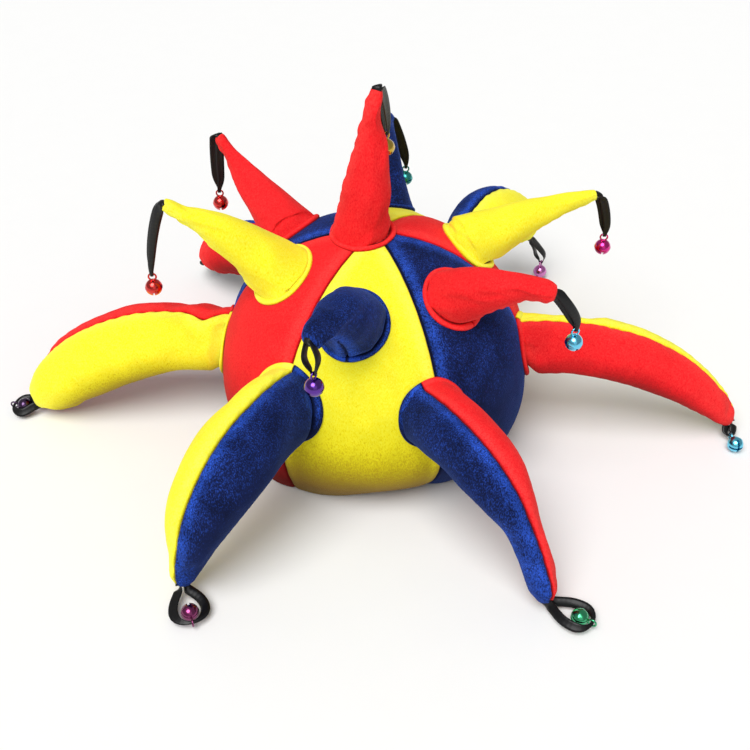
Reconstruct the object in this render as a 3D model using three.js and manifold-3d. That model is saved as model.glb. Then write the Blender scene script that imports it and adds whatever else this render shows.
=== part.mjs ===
// A jester's hat of plush fleece that stands on its rim: a crown of six gores, stuffed horns on
// the gores and the top, two-colour stuffed arms on the seams, and a bell on a ribbon loop at each tip.
// Millimetres, +Z up. The origin is the middle of the rim on the floor, and the front gore faces -Y.
// An azimuth is in degrees from the front, growing to the right. A latitude on the crown is in
// degrees too, 0 at its widest and 90 at its top.
import * as THREE from 'three';
import { mergeVertices } from 'three/addons/utils/BufferGeometryUtils.js';
import Module from 'manifold-3d';

const wasm = await Module();
wasm.setup();

// Crown
const CROWN_RADIUS = 103;
const CROWN_HEIGHT = 156;
const WIDEST_HEIGHT = 48;
const RIM_RADIUS = 87;
const DOME_POWER = 2.05;
const PANEL_PUFF = 2.5;
const CLOTH = 2.5;
const TOP_HOLE_RADIUS = 4;
const GORES = 6;
const GORE_COLUMNS = 6;
const GORE_ROWS = 9;

// Where the rim lies further in than its circle, or further out
const RIM_TUCKS = [
  { azimuth: 14, depth: 14, spread: 28 },
  { azimuth: -40, depth: -8, spread: 20 },
];

// Clearances between neighbouring pieces
const SEAM_GAP = 0.3;
const SEAT_GAP = 0.35;

// Stuffed pieces: how deep their loft starts inside the crown, and its steps, closer near the tip
const ROOT_DEPTH = 14;
const HORN_SIDES = 10;
const HORN_STEPS = 7;
const ARM_HALF_SIDES = 6;
const ARM_STEPS = 9;
const STEP_POWER = 1.25;

// Bells
const BELL_RADIUS = 5.5;
const BELL_WALL = 0.7;
const BELL_SLOT = 1.4;
const BELL_SLOT_TOP = -0.25 * BELL_RADIUS;
const LOOP_RADIUS = 2.4;
const LOOP_WIRE = 0.6;
const LOOP_MIDDLE = BELL_RADIUS + LOOP_RADIUS;
const LOOP_TOP = LOOP_MIDDLE + LOOP_RADIUS;

// Ribbons: two legs that part at the tip and turn through the bell's loop
const RIBBON_WIDTH = 6;
const RIBBON_GATHERED = 2;
const RIBBON_THICKNESS = 0.8;
const RIBBON_TURN = 1.65;
const RIBBON_TIP_SPACE = 1.2;
const RIBBON_LEAD = 10;
const RIBBON_LEG_STEPS = 6;
const RIBBON_TURN_STEPS = 4;

const YELLOW = '#f6ef1c';
const RED = '#e3202b';
const BLUE = '#1b2560';
const BLACK = '#111114';

// Gores in order from the front to the right, and the colour of what is sewn on each colour of gore
const PANELS = [
  { name: 'front', colour: YELLOW },
  { name: 'front_right', colour: BLUE },
  { name: 'back_right', colour: RED },
  { name: 'back', colour: YELLOW },
  { name: 'back_left', colour: BLUE },
  { name: 'front_left', colour: RED },
];
const SEWN_ON = { [YELLOW]: BLUE, [RED]: YELLOW, [BLUE]: RED };
const TOP_COLOUR = RED;

// Each stuffed piece runs from its base on the crown, an azimuth and a latitude, past a bend to its
// tip. These two are an azimuth, a radius from the axis and a height. Girth is its radius at the base.
const HORNS = [
  { name: 'top', end: 'upright', girth: 20,
    base: [-90, 86], bend: [-90, 6, 205], tip: [90, 1, 252] },
  { name: 'front', end: 'stubby', girth: 21.5,
    base: [-6, 50], bend: [-4, 105, 172], tip: [-9, 138, 173] },
  { name: 'front_right', end: 'stubby', girth: 20,
    base: [54, 52], bend: [52, 99, 164], tip: [60.5, 127.5, 160] },
  { name: 'back_right', end: 'pointed', girth: 21.5,
    base: [111, 53], bend: [114, 107.5, 147], tip: [112.6, 154, 156.5] },
  { name: 'back', end: 'pointed', girth: 20,
    base: [180, 54], bend: [182, 95, 174], tip: [181.5, 152, 160] },
  { name: 'back_left', end: 'slender', girth: 21,
    base: [-117, 50], bend: [-128, 130, 152], tip: [-126, 144, 173] },
  { name: 'front_left', end: 'pointed', girth: 21.5,
    base: [-67, 54], bend: [-71, 93.5, 169], tip: [-72, 128.5, 192.5] },
];

// An arm's halves are named from the lower azimuth to the higher one, and its seam is turned from upright
const ARMS = [
  { name: 'left', halves: ['back', 'front'], end: 'blunt', girth: 23, seam: 0,
    base: [-90, 7], bend: [-88, 182, 71], tip: [-85, 241, 10.5] },
  { name: 'front_left', halves: ['outer', 'inner'], end: 'slim', girth: 24.2, seam: 0,
    base: [-28, 18], bend: [-25, 182, 104], tip: [-30, 201, 11.5] },
  { name: 'front_right', halves: ['inner', 'outer'], end: 'pinched', girth: 21.5, seam: 14,
    base: [26.5, 18], bend: [31.8, 184.5, 98], tip: [35.8, 202, 9] },
  { name: 'right', halves: ['front', 'back'], end: 'lean', girth: 20, seam: 0,
    base: [90, 13], bend: [89, 185, 85], tip: [91, 249, 13] },
  { name: 'back_right', halves: ['outer', 'inner'], end: 'blunt', girth: 19, seam: 0,
    base: [150, 14], bend: [157, 186, 98], tip: [149, 210, 45] },
  { name: 'back_left', halves: ['inner', 'outer'], end: 'blunt', girth: 18.5, seam: 0,
    base: [-150, 10], bend: [-140, 180, 60], tip: [-134.5, 217, 23] },
];

// Girth along a stuffed piece to each kind of end: a place along it, and the share of the girth at its base
const TAPERS = {
  pointed: [[0, 1], [0.12, 0.89], [0.32, 0.71], [0.53, 0.53], [0.75, 0.36], [0.95, 0.23], [1, 0.17]],
  slender: [[0, 1], [0.12, 0.87], [0.32, 0.67], [0.53, 0.46], [0.75, 0.31], [0.95, 0.22], [1, 0.16]],
  upright: [[0, 1], [0.12, 0.91], [0.32, 0.75], [0.6, 0.5], [0.8, 0.36], [0.95, 0.25], [1, 0.19]],
  stubby: [[0, 1], [0.12, 0.93], [0.3, 0.8], [0.5, 0.64], [0.7, 0.49], [0.85, 0.42], [0.95, 0.37], [1, 0.27]],
  blunt: [[0, 1], [0.15, 1], [0.4, 1.13], [0.65, 1.1], [0.85, 0.9], [0.96, 0.6], [1, 0.28]],
  lean: [[0, 1], [0.15, 1.01], [0.4, 1.02], [0.65, 0.9], [0.85, 0.66], [0.96, 0.46], [1, 0.26]],
  pinched: [[0, 1], [0.15, 1], [0.35, 0.95], [0.52, 0.81], [0.66, 0.6], [0.8, 0.52], [0.95, 0.46], [1, 0.28]],
  slim: [[0, 1], [0.15, 1.02], [0.4, 1.06], [0.65, 0.93], [0.85, 0.62], [0.96, 0.4], [1, 0.24]],
};

// Bells: where each hangs or lies, how far its ribbon's two legs stand apart halfway, and for a ribbon that
// lies round its bell the radius of its turn
const BELLS = [
  { on: 'horn_top', colour: '#c9a83c', place: [172, 30, 200], spread: 0.5 },
  { on: 'horn_front', colour: '#6d3f86', place: [-7.5, 146.5, 147], spread: 3 },
  { on: 'horn_front_right', colour: '#7fc4e6', place: [65, 140, 122], spread: 1.2 },
  { on: 'horn_back_right', colour: '#c5317f', place: [112.3, 165, 113.5], spread: 1 },
  { on: 'horn_back', colour: '#2f9c95', place: [177, 160, 105], spread: 2 },
  { on: 'horn_back_left', colour: '#c22a2c', place: [-126, 150, 118], spread: 1 },
  { on: 'horn_front_left', colour: '#c8322e', place: [-77, 143, 126], spread: 1.2 },
  { on: 'arm_left', colour: '#4a2f55', place: [-85.3, 254, 5.8], spread: 0, around: 8 },
  { on: 'arm_front_left', colour: '#7d2a5e', place: [-25.5, 214, 5.8], spread: 1, around: 11 },
  { on: 'arm_front_right', colour: '#3aa874', place: [38.5, 223, 5.8], spread: 1, around: 9 },
  { on: 'arm_right', colour: '#5cc3d8', place: [87, 254, 5.8], spread: 2 },
  { on: 'arm_back_right', colour: '#d77fa0', place: [147, 224, 6.2], spread: 4 },
  { on: 'arm_back_left', colour: '#c9a83c', place: [-141, 247, 5.8], spread: 1 },
];

// A bell this low lies on the floor. From a tip that points up this much its ribbon falls to one side,
// and keeps only this much of the tip's heading.
const LYING_HEIGHT = 6;
const UPRIGHT_TIP = 0.6;
const FALLING_LEAD = 0.85;

const radians = THREE.MathUtils.degToRad;
const degrees = THREE.MathUtils.radToDeg;
const UP = new THREE.Vector3(0, 0, 1);

function polar(azimuth, radius, height) {
  const angle = radians(azimuth);
  return new THREE.Vector3(radius * Math.sin(angle), -radius * Math.cos(angle), height);
}

// Crown surface

const RIM_LATITUDE = -degrees(Math.acos(RIM_RADIUS / CROWN_RADIUS));
const TOP_LATITUDE = degrees(Math.acos((TOP_HOLE_RADIUS / CROWN_RADIUS) ** (DOME_POWER / 2)));
const DOME_RISE = CROWN_HEIGHT - WIDEST_HEIGHT;
const LOWER_RISE = WIDEST_HEIGHT / Math.sin(radians(-RIM_LATITUDE));

// Radius and height of the crown's profile at a latitude, with its outward normal: a rounded
// dome above its widest, and an ellipse that tucks in to the rim below
function profile(latitude) {
  const across = Math.max(Math.cos(radians(latitude)), 0);
  const along = Math.sin(radians(latitude));
  if (latitude < 0) {
    const normal = new THREE.Vector2(across / CROWN_RADIUS, along / LOWER_RISE).normalize();
    return { radius: CROWN_RADIUS * across, height: WIDEST_HEIGHT + LOWER_RISE * along, normal };
  }
  const power = 2 / DOME_POWER;
  const normal = new THREE.Vector2(across ** (2 - power) / CROWN_RADIUS, along ** (2 - power) / DOME_RISE);
  return {
    radius: CROWN_RADIUS * across ** power,
    height: WIDEST_HEIGHT + DOME_RISE * along ** power,
    normal: normal.normalize(),
  };
}

// A gore swells between its seams, most of all at the crown's widest
function puff(azimuth, latitude) {
  const half = 180 / GORES;
  const fromMiddle = THREE.MathUtils.euclideanModulo(azimuth + half, 2 * half) - half;
  return PANEL_PUFF * (1 - (fromMiddle / half) ** 4) * Math.cos(radians(latitude));
}

// How far in the crown lies below its widest, all of it at the rim
function tuck(azimuth, latitude) {
  const turned = THREE.MathUtils.euclideanModulo(azimuth + 180, 360) - 180;
  const depths = RIM_TUCKS.map((row) => row.depth * Math.exp(-(((turned - row.azimuth) / row.spread) ** 2)));
  const share = Math.min(latitude, 0) / RIM_LATITUDE;
  return share ** 2 * depths.reduce((sum, depth) => sum + depth, 0);
}

// A point on the crown, or off it by an offset. The rim is cut level with the floor.
function crownPoint(azimuth, latitude, offset) {
  const { radius, height, normal } = profile(latitude);
  const out = offset + puff(azimuth, latitude);
  const level = latitude > RIM_LATITUDE ? height + normal.y * out : 0;
  return polar(azimuth, radius + normal.x * out - tuck(azimuth, latitude), level);
}

function crownNormal(azimuth, latitude) {
  const { normal } = profile(latitude);
  return polar(azimuth, normal.x, normal.y);
}

const rowLatitude = (row) => THREE.MathUtils.lerp(RIM_LATITUDE, TOP_LATITUDE, row / GORE_ROWS);

// Solids

// Triangles that close a ring of points from its first one
function fanCap(count) {
  const faces = [];
  for (let column = 1; column + 1 < count; column += 1) {
    faces.push([0, column, column + 1]);
  }
  return faces;
}

// Triangles that close a thin ring, each point joined to the one behind it
function stripCap(count) {
  const faces = [];
  for (let column = 0; column + 1 < count / 2; column += 1) {
    const behind = count - 1 - column;
    faces.push([column, column + 1, behind - 1], [column, behind - 1, behind]);
  }
  return faces;
}

// Joins rings of points into a closed solid with its first and last ring capped
function loft(rings, cap = fanCap) {
  const count = rings[0].length;
  const last = (rings.length - 1) * count;
  const faces = [];
  for (let start = 0; start < last; start += count) {
    for (let column = 0; column < count; column += 1) {
      const a = start + column;
      const b = start + (column + 1) % count;
      faces.push([a, b, b + count], [a, b + count, a + count]);
    }
  }
  cap(count).forEach(([a, b, c]) => faces.push([c, b, a], [last + a, last + b, last + c]));
  return outwardGeometry(rings.flat(), faces);
}

// A geometry whose faces point outward, whichever way round its rings were given
function outwardGeometry(points, faces) {
  const volume = faces.reduce((sum, [a, b, c]) => sum + points[a].dot(points[b].clone().cross(points[c])), 0);
  const index = volume < 0 ? faces.map(([a, b, c]) => [c, b, a]) : faces;
  const geometry = new THREE.BufferGeometry();
  geometry.setAttribute('position', new THREE.Float32BufferAttribute(points.flatMap((p) => p.toArray()), 3));
  geometry.setIndex(index.flat());
  return geometry;
}

function toSolid(geometry) {
  const bare = geometry.clone();
  bare.deleteAttribute('normal');
  bare.deleteAttribute('uv');
  const merged = mergeVertices(bare, 1e-4);
  const vertProperties = new Float32Array(merged.attributes.position.array);
  const triVerts = new Uint32Array(merged.index.array);
  return new wasm.Manifold(new wasm.Mesh({ numProp: 3, vertProperties, triVerts }));
}

function fromSolid(solid) {
  const mesh = solid.getMesh();
  const geometry = new THREE.BufferGeometry();
  geometry.setAttribute('position', new THREE.BufferAttribute(mesh.vertProperties, 3));
  geometry.setIndex(new THREE.BufferAttribute(mesh.triVerts, 1));
  return geometry;
}

// A share from a taper table, eased smoothly from row to row
function eased(table, along) {
  const index = Math.max(table.findIndex(([place]) => along <= place), 1) - 1;
  const slope = (i) => {
    const [placeBefore, shareBefore] = table[Math.max(i - 1, 0)];
    const [placeAfter, shareAfter] = table[Math.min(i + 1, table.length - 1)];
    return (shareAfter - shareBefore) / (placeAfter - placeBefore);
  };
  const [start, from] = table[index];
  const [end, to] = table[index + 1];
  const step = end - start;
  const t = (along - start) / step;
  const rise = step * t * (1 - t) * (slope(index) * (1 - t) - slope(index + 1) * t);
  return from + (to - from) * t * t * (3 - 2 * t) + rise;
}

// Crown gores

function gorePoint(column, centre, latitude, offset) {
  const side = 2 * column / GORE_COLUMNS - 1;
  const half = 180 / GORES;
  const seamRadius = profile(latitude).radius + offset - tuck(centre + Math.sign(side) * half, latitude);
  const width = half - degrees(Math.asin(SEAM_GAP / 2 / seamRadius));
  return crownPoint(centre + width * side, latitude, offset);
}

// One gore: each ring is a band across it, out along the outside and back along the inside
function gore(index) {
  const centre = index * 360 / GORES;
  const rings = [];
  for (let row = 0; row <= GORE_ROWS; row += 1) {
    const latitude = rowLatitude(row);
    const outside = [];
    const inside = [];
    for (let column = 0; column <= GORE_COLUMNS; column += 1) {
      outside.push(gorePoint(column, centre, latitude, 0));
      inside.unshift(gorePoint(column, centre, latitude, -CLOTH));
    }
    rings.push([...outside, ...inside]);
  }
  return loft(rings, stripCap);
}

// The crown's outside as one solid body, a seat's gap larger, which trims the stuffed pieces' bases
function crownEnvelope() {
  const rings = [];
  for (let row = 0; row <= GORE_ROWS; row += 1) {
    const ring = [];
    for (let column = 0; column < GORES * GORE_COLUMNS; column += 1) {
      const azimuth = (column / GORE_COLUMNS - 0.5) * 360 / GORES;
      ring.push(crownPoint(azimuth, rowLatitude(row), SEAT_GAP));
    }
    rings.push(ring);
  }
  return toSolid(loft(rings));
}

const envelope = crownEnvelope();

// Stuffed pieces

function spine(row) {
  const base = crownPoint(row.base[0], row.base[1], 0);
  return new THREE.QuadraticBezierCurve3(base, polar(...row.bend), polar(...row.tip));
}

// Stations along a stuffed piece, the first one sunk in the crown: place, directions and girth
function stations(row, seam, steps) {
  const curve = spine(row);
  const side = polar(row.base[0] + 90, 1, 0);
  const station = (along) => {
    const ahead = curve.getTangent(along);
    const across = side.clone().addScaledVector(ahead, -side.dot(ahead)).normalize();
    across.applyAxisAngle(ahead, radians(seam));
    const below = new THREE.Vector3().crossVectors(across, ahead);
    return { place: curve.getPoint(along), across, below, girth: row.girth * eased(TAPERS[row.end], along) };
  };
  const root = station(0);
  root.place.addScaledVector(crownNormal(...row.base), -ROOT_DEPTH);
  const list = [root];
  for (let step = 0; step <= steps; step += 1) {
    list.push(station(1 - (1 - step / steps) ** STEP_POWER));
  }
  return list;
}

// A point on a stuffed piece's skin, flattened where it rests on the floor
function skin(station, angle, shift) {
  const point = station.place.clone()
    .addScaledVector(station.across, station.girth * Math.cos(angle) + shift)
    .addScaledVector(station.below, station.girth * Math.sin(angle));
  point.z = Math.max(point.z, 0);
  return point;
}

function horn(row) {
  const rings = stations(row, 0, HORN_STEPS).map((station) => {
    const ring = [];
    for (let side = 0; side < HORN_SIDES; side += 1) {
      ring.push(skin(station, 2 * Math.PI * side / HORN_SIDES, 0));
    }
    return ring;
  });
  return fromSolid(toSolid(loft(rings)).subtract(envelope));
}

// Half an arm, on the lower (-1) or higher (+1) azimuth side of its seam
function armHalf(row, hand) {
  const rings = stations(row, row.seam, ARM_STEPS).map((station) => {
    const ring = [];
    for (let side = 0; side <= ARM_HALF_SIDES; side += 1) {
      const angle = Math.PI * (side / ARM_HALF_SIDES - 0.5);
      ring.push(skin(station, hand > 0 ? angle : Math.PI - angle, hand * SEAM_GAP / 2));
    }
    return ring;
  });
  return fromSolid(toSolid(loft(rings)).subtract(envelope));
}

// Bells and ribbons

// A bell that hangs along -Z, its ball's middle at the origin: a hollow ball with a slot and a wire loop
function bellSolid() {
  const ball = toSolid(new THREE.SphereGeometry(BELL_RADIUS, 10, 6).rotateX(Math.PI / 2));
  const hollow = toSolid(new THREE.SphereGeometry(BELL_RADIUS - BELL_WALL, 8, 4).rotateX(Math.PI / 2));
  const slotBox = new THREE.BoxGeometry(BELL_SLOT, 3 * BELL_RADIUS, BELL_RADIUS);
  const slot = toSolid(slotBox.translate(0, 0, BELL_SLOT_TOP - BELL_RADIUS / 2));
  const ring = new THREE.TorusGeometry(LOOP_RADIUS, LOOP_WIRE, 5, 8).rotateX(Math.PI / 2);
  const loop = toSolid(ring.translate(0, 0, LOOP_MIDDLE));
  return ball.add(loop).subtract(hollow).subtract(slot);
}

const bellBody = bellSolid();

const STUFFED = new Map([
  ...HORNS.map((row) => [`horn_${row.name}`, row]),
  ...ARMS.map((row) => [`arm_${row.name}`, row]),
]);

// The ribbon's seat at a tip, the bell's place, and the directions between them
function hanging(bell) {
  const curve = spine(STUFFED.get(bell.on));
  const ahead = curve.getTangent(1);
  const tip = curve.getPoint(1);
  const place = polar(...bell.place);
  const homeward = tip.clone().sub(place).setZ(0).normalize();
  const outward = homeward.clone().negate();
  const lies = bell.place[2] < LYING_HEIGHT;
  const lying = bell.around ? outward : homeward;
  const back = lies ? lying : UP.clone();
  const falls = ahead.z > UPRIGHT_TIP;
  const heading = falls ? outward : ahead.clone().setZ(0).normalize();
  const width = lies ? UP.clone() : new THREE.Vector3().crossVectors(heading, UP);
  const lead = falls ? FALLING_LEAD : 1;
  const leaving = lies ? outward : heading.clone().addScaledVector(ahead, lead).normalize();
  const sideways = new THREE.Vector3().crossVectors(leaving, width).normalize();
  const legs = RIBBON_TIP_SPACE + RIBBON_THICKNESS / 2;
  const overhang = RIBBON_WIDTH / 2 * Math.abs(width.dot(ahead)) + legs * Math.abs(sideways.dot(ahead));
  tip.addScaledVector(ahead, SEAT_GAP + overhang);
  return { tip, leaving, place, back, width };
}

function bellGeometry(bell) {
  const { place, back, width } = hanging(bell);
  const through = new THREE.Vector3().crossVectors(back, width);
  const turned = new THREE.Matrix4().makeBasis(width, through, back).setPosition(place);
  return fromSolid(bellBody).applyMatrix4(turned);
}

// A ribbon's cross-section at a point of its path
function ribbonSection(centre, along, width, wide) {
  const broad = width.clone().addScaledVector(along, -width.dot(along)).setLength(wide / 2);
  const thin = new THREE.Vector3().crossVectors(along, broad).setLength(RIBBON_THICKNESS / 2);
  return [[1, 1], [-1, 1], [-1, -1], [1, -1]].map(([u, v]) => (
    centre.clone().addScaledVector(broad, u).addScaledVector(thin, v)));
}

// One leg of a ribbon from its tip to the turn, on one hand of the midline
function ribbonLeg(midline, width, bell, round, hand) {
  const rings = [];
  for (let step = 0; step < RIBBON_LEG_STEPS; step += 1) {
    const t = step / RIBBON_LEG_STEPS;
    const along = midline.getTangent(t);
    const bow = bell.spread * Math.sin(Math.PI * t) ** 2;
    const apart = THREE.MathUtils.lerp(RIBBON_TIP_SPACE, round, Math.sin(Math.PI / 2 * t) ** 2) + bow;
    const sideways = new THREE.Vector3().crossVectors(along, width).normalize();
    const centre = midline.getPoint(t).addScaledVector(sideways, hand * apart);
    const wide = bell.around ? RIBBON_WIDTH : THREE.MathUtils.lerp(RIBBON_WIDTH, RIBBON_GATHERED, t ** 2);
    rings.push(ribbonSection(centre, along.multiplyScalar(hand), width, wide));
  }
  return rings;
}

// The half circle that a ribbon makes through the bell's loop, from one leg's width to the other's
function ribbonTurn(centre, onward, width, bell, round) {
  const sideways = new THREE.Vector3().crossVectors(onward, width).normalize();
  const rings = [];
  for (let step = 0; step <= RIBBON_TURN_STEPS; step += 1) {
    const angle = Math.PI * step / RIBBON_TURN_STEPS;
    const out = sideways.clone().multiplyScalar(Math.cos(angle)).addScaledVector(onward, Math.sin(angle));
    const along = onward.clone().multiplyScalar(Math.cos(angle)).addScaledVector(sideways, -Math.sin(angle));
    const place = centre.clone().addScaledVector(out, round);
    const legWidth = bell.around ? RIBBON_WIDTH : RIBBON_GATHERED;
    const wide = THREE.MathUtils.lerp(legWidth, RIBBON_GATHERED, Math.sin(angle) ** 2);
    rings.push(ribbonSection(place, along, width, wide));
  }
  return rings;
}

// A ribbon loop: down one leg from the tip, through the bell's loop and up the other leg
function ribbon(bell) {
  const { tip, leaving, place, back, width } = hanging(bell);
  const round = bell.around ?? RIBBON_TURN;
  const onward = bell.around ? back.clone() : back.clone().negate();
  const turn = place.clone().addScaledVector(back, bell.around ? LOOP_MIDDLE - round : LOOP_TOP);
  const reach = Math.min(tip.distanceTo(turn) / 3, RIBBON_LEAD);
  const early = tip.clone().addScaledVector(leaving, reach);
  const late = turn.clone().addScaledVector(onward, -reach);
  const midline = new THREE.CubicBezierCurve3(tip, early, late, turn);
  const down = ribbonLeg(midline, width, bell, round, 1);
  const up = ribbonLeg(midline, width, bell, round, -1).reverse();
  return loft([...down, ...ribbonTurn(turn, onward, width, bell, round), ...up]);
}

// Assembly

const hat = new THREE.Group();

function addPiece(name, geometry, colour, roughness, metalness) {
  const material = new THREE.MeshStandardMaterial({ color: colour, roughness, metalness });
  const mesh = new THREE.Mesh(geometry, material);
  mesh.name = name;
  hat.add(mesh);
}

const addFleece = (name, geometry, colour) => addPiece(name, geometry, colour, 0.95, 0);
const addSatin = (name, geometry) => addPiece(name, geometry, BLACK, 0.45, 0);
const addMetal = (name, geometry, colour) => addPiece(name, geometry, colour, 0.3, 0.9);

PANELS.forEach((panel, index) => addFleece(`crown_panel_${panel.name}`, gore(index), panel.colour));
HORNS.forEach((row) => {
  const panel = PANELS.find(({ name }) => name === row.name);
  addFleece(`horn_${row.name}`, horn(row), panel ? SEWN_ON[panel.colour] : TOP_COLOUR);
});
ARMS.forEach((row) => {
  row.halves.forEach((half, index) => {
    const hand = index ? 1 : -1;
    const beside = Math.round((row.base[0] + hand * 180 / GORES) * GORES / 360);
    const panel = PANELS[THREE.MathUtils.euclideanModulo(beside, GORES)];
    addFleece(`arm_${row.name}_${half}`, armHalf(row, hand), SEWN_ON[panel.colour]);
  });
});
BELLS.forEach((bell) => {
  addSatin(`ribbon_${bell.on}`, ribbon(bell));
  addMetal(`bell_${bell.on}`, bellGeometry(bell), bell.colour);
});

export default hat;
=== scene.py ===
"""A jester's hat of plush fleece, dressed over its packed solids.

Six gores make the crown. Seven stuffed horns and six stuffed arms of two colours are sewn on it, and a bell
hangs from a satin ribbon at every tip. Lengths are in metres and +Z is up. An azimuth is in degrees from the
front, growing to the right, and a latitude on the crown is 0 at its widest and 90 at its top.
"""

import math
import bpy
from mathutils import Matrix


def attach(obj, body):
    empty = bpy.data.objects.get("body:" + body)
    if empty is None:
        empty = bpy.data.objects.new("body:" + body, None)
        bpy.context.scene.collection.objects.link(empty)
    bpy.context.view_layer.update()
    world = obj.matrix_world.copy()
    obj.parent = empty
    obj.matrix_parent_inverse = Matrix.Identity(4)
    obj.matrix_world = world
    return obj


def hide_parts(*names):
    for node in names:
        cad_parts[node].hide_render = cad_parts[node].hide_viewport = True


bl_info = {
    "name": "Jester hat",
    "version": (1, 0, 0),
    "blender": (4, 5, 0),
    "location": "View3D > Sidebar > Jester hat",
    "description": "Dresses the packed solids of a plush jester's hat",
    "category": "Add Mesh",
}

import bmesh
import bpy
import numpy as np
from bpy.props import FloatProperty, FloatVectorProperty, IntProperty, PointerProperty
from mathutils import Euler, Matrix, Vector, noise

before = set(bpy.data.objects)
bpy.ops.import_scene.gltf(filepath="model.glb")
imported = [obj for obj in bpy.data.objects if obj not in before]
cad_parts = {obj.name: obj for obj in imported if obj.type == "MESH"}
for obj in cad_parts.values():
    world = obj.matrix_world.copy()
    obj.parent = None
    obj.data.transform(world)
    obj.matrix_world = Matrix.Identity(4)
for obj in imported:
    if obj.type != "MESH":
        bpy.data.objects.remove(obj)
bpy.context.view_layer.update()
BODY = "root"
MM = 0.001


def linear(colour):
    """The linear red, green and blue of an sRGB hex colour."""
    parts = [int(colour[start:start + 2], 16) / 255 for start in (1, 3, 5)]
    return tuple(part / 12.92 if part <= 0.04045 else ((part + 0.055) / 1.055) ** 2.4 for part in parts)


# Gores in order from the front to the right, and the colour of each
GORES = {
    "front": "yellow",
    "front_right": "blue",
    "back_right": "red",
    "back": "yellow",
    "back_left": "blue",
    "front_left": "red",
}
HALF_GORE = 180 / len(GORES)
DOME_POWER = 2.05
TOP_HOLE = 4 * MM

# Where the rim lies further in than its circle, or further out: azimuth, depth in millimetres and spread
RIM_TUCKS = ((14, 14, 28), (-40, -8, 20))

# Girth along a stuffed piece to each kind of end: a place along it, and the share of the girth at its base
TAPERS = {
    "pointed": ((0, 1), (0.12, 0.89), (0.32, 0.71), (0.53, 0.53), (0.75, 0.36), (0.95, 0.23), (1, 0.17)),
    "slender": ((0, 1), (0.12, 0.87), (0.32, 0.67), (0.53, 0.46), (0.75, 0.31), (0.95, 0.22), (1, 0.16)),
    "upright": ((0, 1), (0.12, 0.91), (0.32, 0.75), (0.6, 0.5), (0.8, 0.36), (0.95, 0.25), (1, 0.19)),
    "stubby": (
        (0, 1), (0.12, 0.93), (0.3, 0.8), (0.5, 0.64), (0.7, 0.49), (0.85, 0.42), (0.95, 0.37), (1, 0.27),
    ),
    "blunt": ((0, 1), (0.15, 1), (0.4, 1.13), (0.65, 1.1), (0.85, 0.9), (0.96, 0.6), (1, 0.28)),
    "lean": ((0, 1), (0.15, 1.01), (0.4, 1.02), (0.65, 0.9), (0.85, 0.66), (0.96, 0.46), (1, 0.26)),
    "pinched": (
        (0, 1), (0.15, 1), (0.35, 0.95), (0.52, 0.81), (0.66, 0.6), (0.8, 0.52), (0.95, 0.46), (1, 0.28),
    ),
    "slim": ((0, 1), (0.15, 1.02), (0.4, 1.06), (0.65, 0.93), (0.85, 0.62), (0.96, 0.4), (1, 0.24)),
}

# A stuffed piece runs from its base on the crown, an azimuth and a latitude, past a bend to its tip. These
# two are an azimuth, a radius from the axis and a height in millimetres, as the girth is.
HORNS = {
    "top": {
        "base": (-90, 86), "bend": (-90, 6, 205), "tip": (90, 1, 252),
        "girth": 20, "end": "upright", "colour": "red",
    },
    "front": {
        "base": (-6, 50), "bend": (-4, 105, 172), "tip": (-9, 138, 173),
        "girth": 21.5, "end": "stubby", "colour": "blue",
    },
    "front_right": {
        "base": (54, 52), "bend": (52, 99, 164), "tip": (60.5, 127.5, 160),
        "girth": 20, "end": "stubby", "colour": "red",
    },
    "back_right": {
        "base": (111, 53), "bend": (114, 107.5, 147), "tip": (112.6, 154, 156.5),
        "girth": 21.5, "end": "pointed", "colour": "yellow",
    },
    "back": {
        "base": (180, 54), "bend": (182, 95, 174), "tip": (181.5, 152, 160),
        "girth": 20, "end": "pointed", "colour": "blue",
    },
    "back_left": {
        "base": (-117, 50), "bend": (-128, 130, 152), "tip": (-126, 144, 173),
        "girth": 21, "end": "slender", "colour": "red",
    },
    "front_left": {
        "base": (-67, 54), "bend": (-71, 93.5, 169), "tip": (-72, 128.5, 192.5),
        "girth": 21.5, "end": "pointed", "colour": "yellow",
    },
}

# An arm's two halves are on the lower and the higher azimuth side of its seam. The seam is turned from
# upright by an angle in degrees, and further at a fold near the base or with a twist towards the tip.
ARMS = {
    "left": {
        "base": (-90, 7), "bend": (-88, 182, 71), "tip": (-85, 241, 10.5), "girth": 23, "end": "blunt",
        "seam": 0, "fold": -18, "halves": (("back", "red"), ("front", "yellow")),
    },
    "front_left": {
        "base": (-28, 18), "bend": (-25, 182, 104), "tip": (-30, 201, 11.5), "girth": 24.2, "end": "slim",
        "seam": 0, "halves": (("outer", "yellow"), ("inner", "blue")),
    },
    "front_right": {
        "base": (26.5, 18), "bend": (31.8, 184.5, 98), "tip": (35.8, 202, 9), "girth": 21.5, "end": "pinched",
        "seam": 14, "twist": -24, "halves": (("inner", "blue"), ("outer", "red")),
    },
    "right": {
        "base": (90, 13), "bend": (89, 185, 85), "tip": (91, 249, 13), "girth": 20, "end": "lean",
        "seam": 0, "halves": (("front", "red"), ("back", "yellow")),
    },
    "back_right": {
        "base": (150, 14), "bend": (157, 186, 98), "tip": (149, 210, 45), "girth": 19, "end": "blunt",
        "seam": 0, "halves": (("outer", "yellow"), ("inner", "blue")),
    },
    "back_left": {
        "base": (-150, 10), "bend": (-140, 180, 60), "tip": (-134.5, 217, 23), "girth": 18.5, "end": "blunt",
        "seam": 0, "halves": (("inner", "blue"), ("outer", "red")),
    },
}
STUFFED = {
    **{f"horn_{name}": {**row, "seam": 0} for name, row in HORNS.items()},
    **{f"arm_{name}": row for name, row in ARMS.items()},
}

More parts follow.
